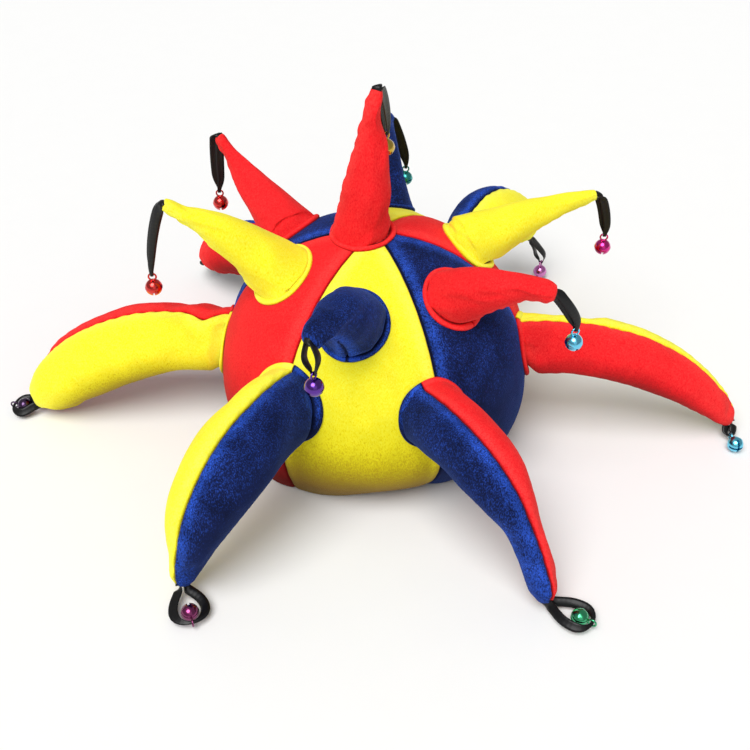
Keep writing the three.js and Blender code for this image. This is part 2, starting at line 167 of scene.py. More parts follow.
# Bells: the colour's name, and its place as an azimuth, a radius and a height in millimetres
BELLS = {
    "horn_top": ("gold", (172, 30, 200)),
    "horn_front": ("purple", (-7.5, 146.5, 147)),
    "horn_front_right": ("sky", (65, 140, 122)),
    "horn_back_right": ("magenta", (112.3, 165, 113.5)),
    "horn_back": ("teal", (177, 160, 105)),
    "horn_back_left": ("red", (-126, 150, 118)),
    "horn_front_left": ("red", (-77, 143, 126)),
    "arm_left": ("plum", (-85.3, 254, 5.8)),
    "arm_front_left": ("wine", (-25.5, 214, 5.8)),
    "arm_front_right": ("green", (38.5, 223, 5.8)),
    "arm_right": ("cyan", (87, 254, 5.8)),
    "arm_back_right": ("pink", (147, 224, 6.2)),
    "arm_back_left": ("gold", (-141, 247, 5.8)),
}

# Ribbons: the azimuth and elevation that the flat of the ribbon looks to, how far its legs stand apart where
# they are widest, where that is as a share of the way, how far the legs slide past each other, and how far
# the ribbon goes out before it falls. One that lies round its bell has the radius of its turn. Lengths are
# in millimetres.
RIBBONS = {
    "horn_top": {"faces": (50, 0), "apart": 0.3, "widest": 0.4, "slide": 0.4, "lead": 5},
    "horn_front": {"faces": (62, 0), "apart": 3, "widest": 0.6, "slide": 0, "lead": 2},
    "horn_front_right": {"faces": (24, 0), "apart": 1.4, "widest": 0.5, "slide": 1.2, "lead": 1},
    "horn_back_right": {"faces": (0, 0), "apart": 0.8, "widest": 0.35, "slide": 1.2, "lead": 5},
    "horn_back": {"faces": (10, 0), "apart": 0.5, "widest": 0.5, "slide": 1.4, "lead": 8},
    "horn_back_left": {"faces": (8, 0), "apart": 0.8, "widest": 0.5, "slide": 2.2, "lead": 4},
    "horn_front_left": {"faces": (10, 0), "apart": 0.5, "widest": 0.5, "slide": 0.4, "lead": 4},
    "arm_left": {"faces": (0, 40), "apart": 0.6, "widest": 0.5, "slide": 0, "lead": 4, "round": 8},
    "arm_front_left": {"faces": (0, 55), "apart": 1, "widest": 0.5, "slide": 0, "lead": 6, "round": 9.5},
    "arm_front_right": {"faces": (0, 45), "apart": 1, "widest": 0.55, "slide": 0, "lead": 6, "round": 8.5},
    "arm_right": {"faces": (20, 40), "apart": 0.2, "widest": 0.5, "slide": 0.8, "lead": 4},
    "arm_back_right": {"faces": (64, 0), "apart": 2.6, "widest": 0.76, "slide": 0, "lead": 4},
    "arm_back_left": {"faces": (180, 35), "apart": 1, "widest": 0.5, "slide": 1, "lead": 4},
}
BELL_COLOURS = {
    "gold": "#c9a83c",
    "purple": "#5a2a94",
    "sky": "#6ccdfb",
    "magenta": "#d32488",
    "teal": "#2f9c95",
    "red": "#d8322e",
    "plum": "#4a2f55",
    "wine": "#7d2a5e",
    "green": "#3aa874",
    "cyan": "#66cdf0",
    "pink": "#d47cc4",
}

# A bell lower than this many millimetres lies on the floor. From a tip that points up this much its ribbon
# falls to one side, and keeps only this much of the tip's heading.
LYING_HEIGHT = 6
UPRIGHT_TIP = 0.6
FALLING_LEAD = 0.85


def length_setting(name, description, millimetres):
    """A length that a user may change, with its default in millimetres."""
    return FloatProperty(name=name, description=description, default=millimetres * MM, unit="LENGTH")


def angle_setting(name, description, degrees):
    """An angle that a user may change, with its default in degrees."""
    return FloatProperty(name=name, description=description, default=math.radians(degrees), unit="ROTATION")


def share_setting(name, description, share):
    """A share that a user may change."""
    return FloatProperty(name=name, description=description, default=share, subtype="FACTOR")


def colour_setting(name, description, colour):
    """A colour that a user may change, with its default as an sRGB hex colour."""
    return FloatVectorProperty(name=name, description=description, default=linear(colour), subtype="COLOR")


class CrownSettings(bpy.types.PropertyGroup):
    """Sizes of the crown"""

    radius: length_setting("Radius", "Radius at the widest", 103)
    height: length_setting("Height", "Height of the top", 156)
    widest: length_setting("Widest", "Height of the widest", 48)
    rim: length_setting("Rim radius", "Radius of the rim", 87)
    swell: length_setting("Swell", "How far a gore stands out between seams", 2.5)
    cloth: length_setting("Cloth", "Thickness of the fleece", 2.5)
    hem: length_setting("Hem", "Height of the hem inside the rim", 18)
    # Painted shade: the fleece darkens over this height towards the rim, standing in for the shade on the
    # lower crown
    painted_rim_shade: length_setting("Worn", "How far up the pile is pressed down along the rim", 105)


class SewingSettings(bpy.types.PropertyGroup):
    """Sizes of the seams, the turned lips, the stitches and the filling"""

    roll: length_setting("Seam roll", "Radius that the cloth rolls in with at a seam", 2.4)
    lip_out: length_setting("Lip reach", "How far a base's lip stands out past its edge", 1.6)
    lip_horn: length_setting("Horn's lip", "Width of the turned lip round a horn's base", 5)
    lip_arm: length_setting("Arm's lip", "Width of the turned lip round an arm's base", 7)
    lip_height: length_setting("Lip height", "How high the lip stands off the crown", 2.5)
    waist: length_setting("Waist", "Where a piece has its whole girth, from its lip's groove", 10)
    pucker: length_setting("Pucker", "Depth of the puckers along a seam", 0.4)
    pucker_pitch: length_setting("Pucker pitch", "Distance between puckers", 9)
    pitch: length_setting("Stitch pitch", "From stitch to stitch", 3.6)
    stitch: length_setting("Stitch", "Length of one stitch", 2.7)
    thread: length_setting("Thread", "Radius of the thread", 0.32)
    fill_grid: length_setting("Filling grid", "Spacing of the simulated cloth's points", 4.5)
    fill_columns: IntProperty(
        name="Filling columns", description="Simulated points round a stuffed piece", default=32
    )
    fill_spare: share_setting("Filling spare", "How much longer the cloth is than its seams", 0.05)
    fill_cap: length_setting("Filling cap", "The furthest that a filled point may move", 2)


class FleeceSettings(bpy.types.PropertyGroup):
    """Colours and pile of the fleece"""

    yellow: colour_setting("Yellow", "Colour of the yellow fleece", "#fdee16")
    red: colour_setting("Red", "Colour of the red fleece", "#ee1a22")
    blue: colour_setting("Blue", "Colour of the blue fleece", "#0d163a")
    # Painted shade: how much darker the arms' undersides are made, more the further they face down
    painted_underside_shade: share_setting("Rubbed", "How far the pile is pressed down underneath", 0.72)
    pile: length_setting("Pile", "Relief of the pile", 0.07)
    tuft: length_setting("Tuft", "Width of a clump of pile", 4.2)
    sag: length_setting("Sag", "Depth of soft hollows", 0.9)
    grid: length_setting("Grid", "Spacing of the mesh", 1.5)


class TrimSettings(bpy.types.PropertyGroup):
    """Sizes of the ribbons and the bells"""

    ribbon: length_setting("Ribbon", "Width of the ribbon", 6)
    gathered: length_setting("Gathered", "Width of the ribbon in a bell's loop", 2)
    space: length_setting("Space", "From the ribbon's middle to each leg at the tip", 1.2)
    turn: length_setting("Turn", "Radius of the ribbon's turn in a bell's loop", 1.65)
    satin: length_setting("Satin", "Thickness of the ribbon", 0.6)
    bell: length_setting("Bell", "Radius of a bell", 5.5)
    wall: length_setting("Wall", "Thickness of a bell's wall", 0.7)
    slot: length_setting("Slot", "Width of a bell's slots", 1.4)
    loop: length_setting("Loop", "Radius of a bell's loop", 2.4)
    wire: length_setting("Wire", "Radius of the loop's wire", 0.6)


class StageSettings(bpy.types.PropertyGroup):
    """Camera and light"""

    azimuth: angle_setting("Azimuth", "Direction of the camera", 5.5)
    elevation: angle_setting("Elevation", "Height of the camera as an angle", 38)
    tilt: angle_setting("Tilt", "How far the camera looks below its aim", 1.61)
    distance: length_setting("Distance", "From the camera to its aim", 760)
    aim: length_setting("Aim", "Height of the camera's aim", 65)
    lens: FloatProperty(name="Lens", description="Focal length in millimetres", default=52.9)
    floor: colour_setting("Floor", "Colour of the floor", "#f3f3f2")
    key: FloatProperty(name="Key light", description="Strength of the light above", default=2.75)
    softness: angle_setting("Softness", "Width of the light above as an angle", 42)
    fill: FloatProperty(name="Fill light", description="Power of the light in front", default=2, unit="POWER")
    sky: FloatProperty(name="Surround", description="Strength of the light all round", default=0.36)


def settings(group):
    """One group of the hat's settings in the scene."""
    return getattr(bpy.context.scene, f"hat_{group}")


# Directions and noise


def unit(vectors):
    """Vectors made one long."""
    return vectors / np.maximum(np.linalg.norm(vectors, axis=-1, keepdims=True), 1e-12)


def dot(a, b):
    """Dot product that keeps its last axis, so that it scales a vector."""
    return (a * b).sum(axis=-1, keepdims=True)


def polar(azimuth, radius, height):
    """A point from an azimuth in degrees, a radius from the axis and a height."""
    angle = np.radians(azimuth)
    return np.stack(np.broadcast_arrays(radius * np.sin(angle), -radius * np.cos(angle), height), axis=-1)


def lumps(points, size):
    """Smooth noise of about -1 to 1 at points, with lumps of one size."""
    flat = (points.reshape(-1, 3) / size).tolist()
    return np.array([noise.noise(place) for place in flat]).reshape(points.shape[:-1])


def smooth(share):
    """A share from 0 to 1 that starts and ends gently."""
    share = np.clip(share, 0, 1)
    return share * share * (3 - 2 * share)


def rolled(distance, radius):
    """How far cloth has rolled in at a distance from a seam."""
    left = np.clip(1 - distance / radius, 0, 1)
    return radius * (1 - np.sqrt(1 - left ** 2))


# The crown's surface


def crown_profile(latitude):
    """Radius, height and outward normal of the crown's profile, a dome on an ellipse that tucks in below."""
    crown = settings("crown")
    across = np.clip(np.cos(np.radians(latitude)), 0, 1)
    along = np.sin(np.radians(latitude))
    power = np.where(along > 0, 2 / DOME_POWER, 1)
    rise = np.where(along > 0, crown.height - crown.widest, lower_rise())
    out = across ** (2 - power) / crown.radius
    up = np.sign(along) * np.abs(along) ** (2 - power) / rise
    length = np.hypot(out, up)
    height = crown.widest + rise * np.sign(along) * np.abs(along) ** power
    return crown.radius * across ** power, height, out / length, up / length


def rim_latitude():
    """The latitude of the rim."""
    crown = settings("crown")
    return -math.degrees(math.acos(crown.rim / crown.radius))


def lower_rise():
    """Half the height of the ellipse below the widest."""
    return settings("crown").widest / math.sin(math.radians(-rim_latitude()))


def gore_swell(azimuth, latitude):
    """How far a gore stands out between its seams."""
    from_middle = (azimuth + HALF_GORE) % (2 * HALF_GORE) - HALF_GORE
    return settings("crown").swell * (1 - (from_middle / HALF_GORE) ** 4) * np.cos(np.radians(latitude))


def tuck(azimuth, latitude):
    """How far in the crown lies below its widest, all of it at the rim."""
    turned = (azimuth + 180) % 360 - 180
    depth = sum(
        deep * MM * np.exp(-(((turned - centre) / spread) ** 2)) for centre, deep, spread in RIM_TUCKS
    )
    return depth * (np.minimum(latitude, 0) / rim_latitude()) ** 2


def crown_point(azimuth, latitude, offset):
    """A point on the crown, or off it by an offset."""
    radius, height, out, up = crown_profile(latitude)
    stand = offset + gore_swell(azimuth, latitude)
    return polar(azimuth, radius + out * stand - tuck(azimuth, latitude), height + up * stand)


def over_crown(points):
    """Height of points over the crown's surface, and the crown's normal there."""
    crown = settings("crown")
    azimuth = np.degrees(np.arctan2(points[..., 0], -points[..., 1]))
    height = points[..., 2] - crown.widest
    power = np.where(height > 0, DOME_POWER, 2)
    rise = np.where(height > 0, crown.height - crown.widest, lower_rise())
    share = np.abs(height) / rise
    low = np.degrees(np.arcsin(np.clip(height / rise, -1, 0)))
    radius = (np.hypot(points[..., 0], points[..., 1]) + tuck(azimuth, low)) / crown.radius
    out = power * radius ** (power - 1) / crown.radius
    up = power * share ** (power - 1) / rise * np.sign(height)
    slope = np.hypot(out, up)
    latitude = np.degrees(np.arctan2(np.sign(height) * share ** (power / 2), radius ** (power / 2)))
    above = (radius ** power + share ** power - 1) / slope - gore_swell(azimuth, latitude)
    return above, polar(azimuth, out / slope, up / slope)


def settled(points, height):
    """Points moved along the crown's normal to a height over it."""
    above, normal = over_crown(points)
    return points + normal * (height - above)[..., None]


# Meshes


def grid_faces(rows, columns, closed):
    """Four-sided faces of a grid of points, joined all round where it is closed."""
    row, column = np.mgrid[0:rows - 1, 0:columns if closed else columns - 1]
    first = row * columns + column
    second = row * columns + (column + 1) % columns
    return np.stack([first, second, second + columns, first + columns], axis=-1).reshape(-1, 4).tolist()


def grid_normals(points, closed):
    """Normals of a grid of points."""
    down = np.gradient(points, axis=0)
    if closed:
        side = np.roll(points, -1, axis=1) - np.roll(points, 1, axis=1)
    else:
        side = np.gradient(points, axis=1)
    return unit(np.cross(down, side))


def loft(rings, start, end):
    """Points and faces of a closed body from rings of points, with a pole at each end."""
    rows, columns, _ = rings.shape
    faces = grid_faces(rows, columns, True)
    first, last = rows * columns, rows * columns + 1
    end_row = first - columns
    for column in range(columns):
        after = (column + 1) % columns
        faces.append([first, after, column])
        faces.append([last, end_row + column, end_row + after])
    return np.concatenate([rings.reshape(-1, 3), [start, end]]), faces


def shell(outer, inner):
    """Points and faces of a closed sheet between two grids of points."""
    rows, columns, _ = outer.shape
    count = rows * columns
    front = grid_faces(rows, columns, False)
    back = [[count + corner for corner in reversed(face)] for face in front]
    edge = [
        *range(columns),
        *range(2 * columns - 1, count, columns),
        *range(count - 2, count - columns - 1, -1),
        *range(count - 2 * columns, 0, -columns),
    ]
    sides = [[after, place, place + count, after + count] for place, after in zip(edge, edge[1:] + edge[:1])]
    return np.concatenate([outer.reshape(-1, 3), inner.reshape(-1, 3)]), front + back + sides


def outward(points, faces):
    """The faces turned so that a closed body's volume is positive."""
    triangles = np.array([[face[0], face[k], face[k + 1]] for face in faces for k in range(1, len(face) - 1)])
    a, b, c = (points[triangles[:, k]] for k in range(3))
    if (a * np.cross(b, c)).sum() < 0:
        return [face[::-1] for face in faces]
    return faces


def add_mesh(mesh, slot, *nodes):
    """Adds a mesh as a piece that rides on the hat and stands for some solids, which it hides. The slot is
    not used.
    """
    piece = bpy.data.objects.new(mesh.name, mesh)
    bpy.context.scene.collection.objects.link(piece)
    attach(piece, BODY)
    if nodes:
        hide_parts(*nodes)
    return piece


def add_piece(name, points, faces, material, slot, node):
    """Adds a smooth piece from points and faces, in place of a solid."""
    mesh = bpy.data.meshes.new(name)
    mesh.from_pydata(points.tolist(), [], outward(points, faces))
    mesh.materials.append(material)
    mesh.shade_smooth()
    if mesh.validate():
        raise RuntimeError(f"{name} has bad faces")
    return add_mesh(mesh, slot, node)


# The lowest points stay this far above the floor
FLOOR_CLEAR = 0.1 * MM

# Finer lumps in the pile: their share of its relief, their size as a share of a tuft, and how far their
# noise is moved
FINE_RELIEF = 0.6
FINE_SIZE = 0.5
FINE_SHIFT = 0.05


def off_floor(points):
    """Points raised to just above the floor where they are lower."""
    points[..., 2] = np.maximum(points[..., 2], FLOOR_CLEAR)
    return points


def pile(points, normals, share):
    """Points raised and sunk by the pile."""
    tuft = settings("fleece").tuft
    height = lumps(points, tuft) + FINE_RELIEF * lumps(points + FINE_SHIFT, FINE_SIZE * tuft)
    return points + normals * (height * share * settings("fleece").pile)[..., None]


# Materials


def add_node(tree, kind, inputs=None, **values):
    """Adds a node with its own values, and its inputs' values or links."""
    made = tree.nodes.new(kind)
    for name, value in values.items():
        setattr(made, name, value)
    for name, value in (inputs or {}).items():
        if isinstance(value, bpy.types.NodeSocket):
            tree.links.new(value, made.inputs[name])
        else:
            made.inputs[name].default_value = value
    return made


def new_material(name):
    """A material and its node tree, which is empty."""
    material = bpy.data.materials.new(name)
    material.use_nodes = True
    material.node_tree.nodes.clear()
    return material, material.node_tree


def finish_material(tree, shader):
    """Joins a shader to the material's output."""
    add_node(tree, "ShaderNodeOutputMaterial", {"Surface": shader.outputs["BSDF"]})


def shade(colour, factor):
    """A linear colour made darker or lighter, with full opacity."""
    return tuple(min(part * factor, 1) for part in colour[:3]) + (1,)


# Brushed polyester fleece, cut and napped: soft and matt with a fine grain of fibre ends, darker where the
# pile is pressed down in seams, a pale bloom where the fibres catch the light, and patches where they lie
# another way. Its nap also carries painted shade towards the rim and under the arms and lips' edges, and
# painted highlight beside seams and on lips' crests; the root colour tints that painted shade.
FLEECE_LOOKS = {
    "yellow": {
        "root": "#b27c00", "tip": "#ffff5a", "bloom": "#fffcc0",
        "sheen": 0.2, "lay": (0.96, 1.05), "middle": 0.33,
    },
    "red": {
        "root": "#a80a14", "tip": "#ff3e3c", "bloom": "#ff9a88",
        "sheen": 0.14, "lay": (0.95, 1.06), "middle": 0.36,
    },
    "blue": {
        "root": "#080d2a", "tip": "#264cb2", "bloom": "#5a86ff",
        "sheen": 0.28, "lay": (0.78, 1.45), "middle": 0.5,
    },
}

# Widths of a fibre end, drawn coarser than life so that it shows, of a clump and of a patch that lies one way
FIBRE = 0.75 * MM
CLUMP = 2.6 * MM
LAY = 18 * MM


def fleece_material(colour):
    """Fleece of one colour."""
    name = f"napped_fleece_{colour}"
    if name in bpy.data.materials:
        return bpy.data.materials[name]
    material, tree = new_material(name)
    look = FLEECE_LOOKS[colour]
    base = tuple(getattr(settings("fleece"), colour)) + (1,)
    place = add_node(tree, "ShaderNodeTexCoord").outputs["Object"]
    nap = add_node(tree, "ShaderNodeAttribute", attribute_name="nap").outputs["Fac"]
    combed = add_node(
        tree, "ShaderNodeMapping", {"Vector": place, "Scale": (1.0, 1.0, 0.45)}
    ).outputs["Vector"]
    fibre = add_node(
        tree, "ShaderNodeTexNoise", {"Vector": combed, "Scale": 1 / FIBRE, "Detail": 4.0, "Roughness": 0.7}
    ).outputs["Fac"]
    clump = add_node(
        tree, "ShaderNodeTexNoise", {"Vector": place, "Scale": 1 / CLUMP, "Detail": 2.0, "Roughness": 0.5}
    ).outputs["Fac"]
    lay = add_node(
        tree, "ShaderNodeTexNoise", {"Vector": place, "Scale": 1 / LAY, "Detail": 2.0, "Roughness": 0.5}
    ).outputs["Fac"]
    height = add_node(
        tree, "ShaderNodeMath", {0: clump, 1: 0.16, 2: fibre}, operation="MULTIPLY_ADD"
    ).outputs[0]
    grain = add_node(
        tree, "ShaderNodeMapRange", {"Value": height, "From Min": 0.24, "From Max": 0.9}
    ).outputs["Result"]
    # The nap is pressed pile in seams and also painted shade and highlight: low values pull the grain to the
    # root colour, values over one push it to the tips
    pressed = add_node(
        tree, "ShaderNodeMapRange", {"Value": nap, "To Min": -0.15, "To Max": 1.0}, clamp=False
    ).outputs["Result"]
    depth = add_node(tree, "ShaderNodeMath", {0: grain, 1: pressed}, operation="MULTIPLY").outputs[0]
    ramp = add_node(tree, "ShaderNodeValToRGB", {"Fac": depth})
    stops = ramp.color_ramp.elements
    stops[0].position, stops[0].color = 0.0, linear(look["root"]) + (1,)
    stops[1].position, stops[1].color = 1.0, linear(look["tip"]) + (1,)
    middle = stops.new(look["middle"])
    middle.color = base
    flat, raised = look["lay"]
    brushed = add_node(
        tree,
        "ShaderNodeMapRange",
        {"Value": lay, "From Min": 0.35, "From Max": 0.65, "To Min": flat, "To Max": raised},
    ).outputs["Result"]
    # Painted shade: the value falls with the nap towards the rim, under the arms and lips' edges, and in
    # pressed seams
    pressed_pile_and_painted_shade = add_node(
        tree, "ShaderNodeMapRange", {"Value": nap, "To Min": 0.3, "To Max": 1.0}
    ).outputs["Result"]
    value = add_node(tree, "ShaderNodeMath", {0: brushed, 1: pressed_pile_and_painted_shade}, operation="MULTIPLY").outputs[0]
    shaded = add_node(
        tree, "ShaderNodeHueSaturation", {"Color": ramp.outputs["Color"], "Value": value}
    ).outputs["Color"]
    bump = add_node(
        tree, "ShaderNodeBump", {"Height": height, "Strength": 0.6, "Distance": 0.4 * MM}
    ).outputs["Normal"]
    shader = add_node(
        tree,
        "ShaderNodeBsdfPrincipled",
        {
            "Base Color": shaded,
            "Roughness": 0.95,
            "Specular IOR Level": 0.12,
            "Sheen Weight": look["sheen"],
            "Sheen Roughness": 0.45,
            "Sheen Tint": linear(look["bloom"]) + (1,),
            "Normal": bump,
        },
    )
    finish_material(tree, shader)
    return material


def add_fleece(name, points, faces, colour, node, *naps):
    """Adds a piece of fleece in place of a solid, with its nap at each point in turn: how far its pile stands
    up, and its painted shade and highlight.
    """
    piece = add_piece(name, points, faces, fleece_material(colour), f"fleece_{colour}", node)
    nap = piece.data.attributes.new("nap", "FLOAT", "POINT")
    nap.data.foreach_set("value", np.concatenate([np.ravel(part) for part in naps]).astype(np.float32))
    return piece


# A wave texture at a scale of 1 turns by this many radians in a metre
WAVE_TURN = 20

# Woven satin ribbon, polyester: black with a soft gloss in streaks along it, and ridges from its weave, which
# are drawn far coarser than life so that they show
RIDGE = 2 * math.pi * 0.45 * MM
STREAK_WIDTH = MM / 1.2
STREAK_LENGTH = MM / 0.09


def satin_material():
    """Black satin."""
    name = "woven_satin_black"
    if name in bpy.data.materials:
        return bpy.data.materials[name]
    material, tree = new_material(name)
    across = add_node(tree, "ShaderNodeUVMap", uv_map="ribbon").outputs["UV"]
    weave = add_node(
        tree,
        "ShaderNodeTexWave",
        {"Vector": across, "Scale": 2 * math.pi / RIDGE / WAVE_TURN, "Distortion": 0.6, "Detail": 1.0},
        bands_direction="Y",
    ).outputs["Fac"]
    stretched = add_node(
        tree, "ShaderNodeMapping", {"Vector": across, "Scale": (1 / STREAK_WIDTH, 1 / STREAK_LENGTH, 1.0)}
    ).outputs["Vector"]
    streak = add_node(
        tree, "ShaderNodeTexNoise", {"Vector": stretched, "Scale": 1.0, "Detail": 2.0}
    ).outputs["Fac"]
    rough = add_node(
        tree, "ShaderNodeMapRange", {"Value": streak, "To Min": 0.26, "To Max": 0.48}
    ).outputs["Result"]
    tone = add_node(
        tree,
        "ShaderNodeMix",
        {"Factor": streak, 6: linear("#060607") + (1,), 7: linear("#111113") + (1,)},
        data_type="RGBA",
    ).outputs[2]
    bump = add_node(
        tree, "ShaderNodeBump", {"Height": weave, "Strength": 0.35, "Distance": 0.08 * MM}
    ).outputs["Normal"]
    shader = add_node(
        tree,
        "ShaderNodeBsdfPrincipled",
        {
            "Base Color": tone,
            "Roughness": rough,
            "Specular IOR Level": 0.3,
            "Sheen Weight": 0.06,
            "Sheen Roughness": 0.3,
            "Normal": bump,
        },
    )
    finish_material(tree, shader)
    return material


# Pressed brass under coloured lacquer: a mirror that is tinted, with ripples of this width
RIPPLE = 2.5 * MM


def bell_material(colour):
    """Lacquered bell metal of one colour."""
    name = f"lacquered_brass_{colour}"
    if name in bpy.data.materials:
        return bpy.data.materials[name]
    material, tree = new_material(name)
    place = add_node(tree, "ShaderNodeTexCoord").outputs["Object"]
    ripple = add_node(
        tree, "ShaderNodeTexNoise", {"Vector": place, "Scale": 1 / RIPPLE, "Detail": 2.0}
    ).outputs["Fac"]
    base = linear(BELL_COLOURS[colour])
    tone = add_node(
        tree, "ShaderNodeMix", {"Factor": ripple, 6: shade(base, 0.8), 7: shade(base, 1.25)}, data_type="RGBA"
    ).outputs[2]
    rough = add_node(
        tree, "ShaderNodeMapRange", {"Value": ripple, "To Min": 0.14, "To Max": 0.3}
    ).outputs["Result"]
    bump = add_node(
        tree, "ShaderNodeBump", {"Height": ripple, "Strength": 0.12, "Distance": 0.15 * MM}
    ).outputs["Normal"]
    shader = add_node(
        tree,
        "ShaderNodeBsdfPrincipled",
        {
            "Base Color": tone,
            "Metallic": 1.0,
            "Roughness": rough,
            "Coat Weight": 0.6,
            "Coat Roughness": 0.08,
            "Normal": bump,
        },
    )
    finish_material(tree, shader)
    return material


# Spun polyester thread: darker than the cloth that it sinks into, and uneven in tone from stitch to stitch,
# in waves of this length
TONE_WAVE = 2 * math.pi / 1.2 * MM


def thread_material(colour):
    """Sewing thread of one colour."""
    material, tree = new_material(f"spun_thread_{colour}")
    place = add_node(tree, "ShaderNodeTexCoord").outputs["Object"]
    uneven = add_node(
        tree,
        "ShaderNodeTexWave",
        {"Vector": place, "Scale": 2 * math.pi / TONE_WAVE / WAVE_TURN, "Distortion": 2.0},
    ).outputs["Fac"]
    base = linear(FLEECE_LOOKS[colour]["root"])
    tone = add_node(
        tree, "ShaderNodeMix", {"Factor": uneven, 6: shade(base, 0.7), 7: shade(base, 1.15)}, data_type="RGBA"
    ).outputs[2]
    shader = add_node(
        tree, "ShaderNodeBsdfPrincipled", {"Base Color": tone, "Roughness": 0.7, "Sheen Weight": 0.2}
    )
    finish_material(tree, shader)
    return material


# Painted studio board: matt and even, with the faintest roller mottle of this width
MOTTLE = 25 * MM


def floor_material():
    """The floor's pale matt paint."""
    material, tree = new_material("painted_board")
    place = add_node(tree, "ShaderNodeTexCoord").outputs["Object"]
    mottle = add_node(
        tree, "ShaderNodeTexNoise", {"Vector": place, "Scale": 1 / MOTTLE, "Detail": 3.0}
    ).outputs["Fac"]
    base = tuple(settings("stage").floor)
    tone = add_node(
        tree,
        "ShaderNodeMix",
        {"Factor": mottle, 6: shade(base, 0.985), 7: shade(base, 1.0)},
        data_type="RGBA",
    ).outputs[2]
    shader = add_node(tree, "ShaderNodeBsdfPrincipled", {"Base Color": tone, "Roughness": 0.9})
    finish_material(tree, shader)
    return material


# Stuffed pieces


def eased(taper, along):
    """The share of the girth at places along a piece, eased from row to row of its taper."""
    places, shares = np.array(taper, dtype=float).T
    index = np.arange(len(places))
    before, after = np.maximum(index - 1, 0), np.minimum(index + 1, len(places) - 1)
    slopes = (shares[after] - shares[before]) / (places[after] - places[before])
    row = np.clip(np.searchsorted(places, along) - 1, 0, len(places) - 2)
    step = places[row + 1] - places[row]
    t = (along - places[row]) / step
    rise = step * t * (1 - t) * (slopes[row] * (1 - t) - slopes[row + 1] * t)
    return shares[row] + (shares[row + 1] - shares[row]) * t * t * (3 - 2 * t) + rise


def spine(row, along):
    """Points on a stuffed piece's middle line, and its heading there."""
    base = crown_point(*row["base"], 0)
    bend, tip = (polar(point[0], point[1] * MM, point[2] * MM) for point in (row["bend"], row["tip"]))
    t = np.asarray(along, dtype=float)[..., None]
    middle = (1 - t) ** 2 * base + 2 * t * (1 - t) * bend + t ** 2 * tip
    return middle, unit((1 - t) * (bend - base) + t * (tip - bend))


# How deep a stuffed piece goes on inside the crown, how far its skin stays above the floor, where along it a
# seam folds, how far that spreads, and where its twist is whole
ROOT_DEPTH = 14 * MM
SKIN_CLEAR = 0.15 * MM
FOLD_PLACE = 0.1
FOLD_SPREAD = 0.05
TWIST_PLACE = 0.85


def skin(row, along, angle, inset):
    """Points on a stuffed piece's skin, the way out there, and its radius. Below 0 it is inside the crown."""
    inside = np.minimum(along, 0)[..., None]
    middle, ahead = spine(row, np.maximum(along, 0))
    side = polar(row["base"][0] + 90, 1, 0)
    level = unit(side - ahead * dot(ahead, side))
    fold = row.get("fold", 0) * np.exp(-(((along - FOLD_PLACE) / FOLD_SPREAD) ** 2))
    twist = row.get("twist", 0) * smooth(along / TWIST_PLACE)
    seam = np.radians(row["seam"] + fold + twist)[..., None]
    across = level * np.cos(seam) + np.cross(ahead, level) * np.sin(seam)
    below = np.cross(across, ahead)
    out = across * np.cos(angle)[..., None] + below * np.sin(angle)[..., None]
    girth = row["girth"] * MM * eased(TAPERS[row["end"]], np.maximum(along, 0))
    _, normal = over_crown(crown_point(*row["base"], 0))
    points = middle + out * (girth - inset)[..., None] + inside * ROOT_DEPTH * normal
    points[..., 2] = np.maximum(points[..., 2], SKIN_CLEAR)
    return points, out, girth


# Where along a piece the edge of its base is looked for: from, to, and in how many steps
BASE_SEARCH = (-1, 0.7, 400)


def base_edge(row, angle):
    """Where a stuffed piece's skin leaves the crown at each angle round it, as a place along it."""
    along = np.linspace(*BASE_SEARCH)[:, None] + 0 * angle
    points, _, _ = skin(row, along, angle + 0 * along, 0 * along)
    above, _ = over_crown(points)
    inside = np.where(above < 0, np.arange(len(along))[:, None], 0).max(axis=0)
    column = np.arange(len(angle))
    low, high = above[inside, column], above[inside + 1, column]
    share = low / (low - high)
    return along[inside, column] + share * (along[inside + 1, column] - along[inside, column])


def sewn_edge(row, angle):
    """Points where a stuffed piece's skin leaves the crown, at angles round it."""
    start = base_edge(row, angle)
    return skin(row, start, angle, 0 * start)[0]


# A lip's section as shares of its width and height, and its nap at each: painted highlight on the crest,
# painted shade under the edge, and pressed pile in the groove
LIP_SECTION = (
    (0.25, -0.4), (0.04, 0), (0, 0.4), (0.1, 0.8), (0.28, 1),
    (0.48, 0.98), (0.66, 0.76), (0.84, 0.42), (1, 0.25),
)
LIP_NAP_AND_SHADE = (0.2, 0.4, 0.8, 1.2, 1.4, 1.2, 0.8, 0.3, 0.1)


def lip_width(row):
    """The width of the turned lip round a stuffed piece's base."""
    sewing = settings("sewing")
    return sewing.lip_horn if "colour" in row else sewing.lip_arm


def lip_outline(row):
    """The turned lip's section from under its edge to its groove: how far out, and how high off the crown."""
    sewing = settings("sewing")
    out, width, height = sewing.lip_out, lip_width(row), sewing.lip_height
    return [(out - share * width, rise * height) for share, rise in LIP_SECTION]


def lip_rings(row, edge, centre):
    """Rings of a base's lip, from under its edge to its groove."""
    _, normal = over_crown(edge)
    away = edge - centre
    away = unit(away - normal * dot(away, normal))
    return np.array([settled(edge + away * out, height) for out, height in lip_outline(row)])


# Puckers: how far they reach from a seam, how far from the base they are whole, the middle between their
# hollows and ridges, and how much they waver, from side to side and in what size
PUCKER_REACH = 7 * MM
PUCKER_WHOLE = 12 * MM
PUCKER_LEVEL = 0.6
WAVER = 3
WAVER_SPREAD = 0.4
WAVER_SIZE = 0.5

# How far from the base the filling is whole, and how far the cloth near the base stays above the crown
FILLING_WHOLE = 9 * MM
NEAR_BASE = 15 * MM
CROWN_CLEAR = 0.5 * MM


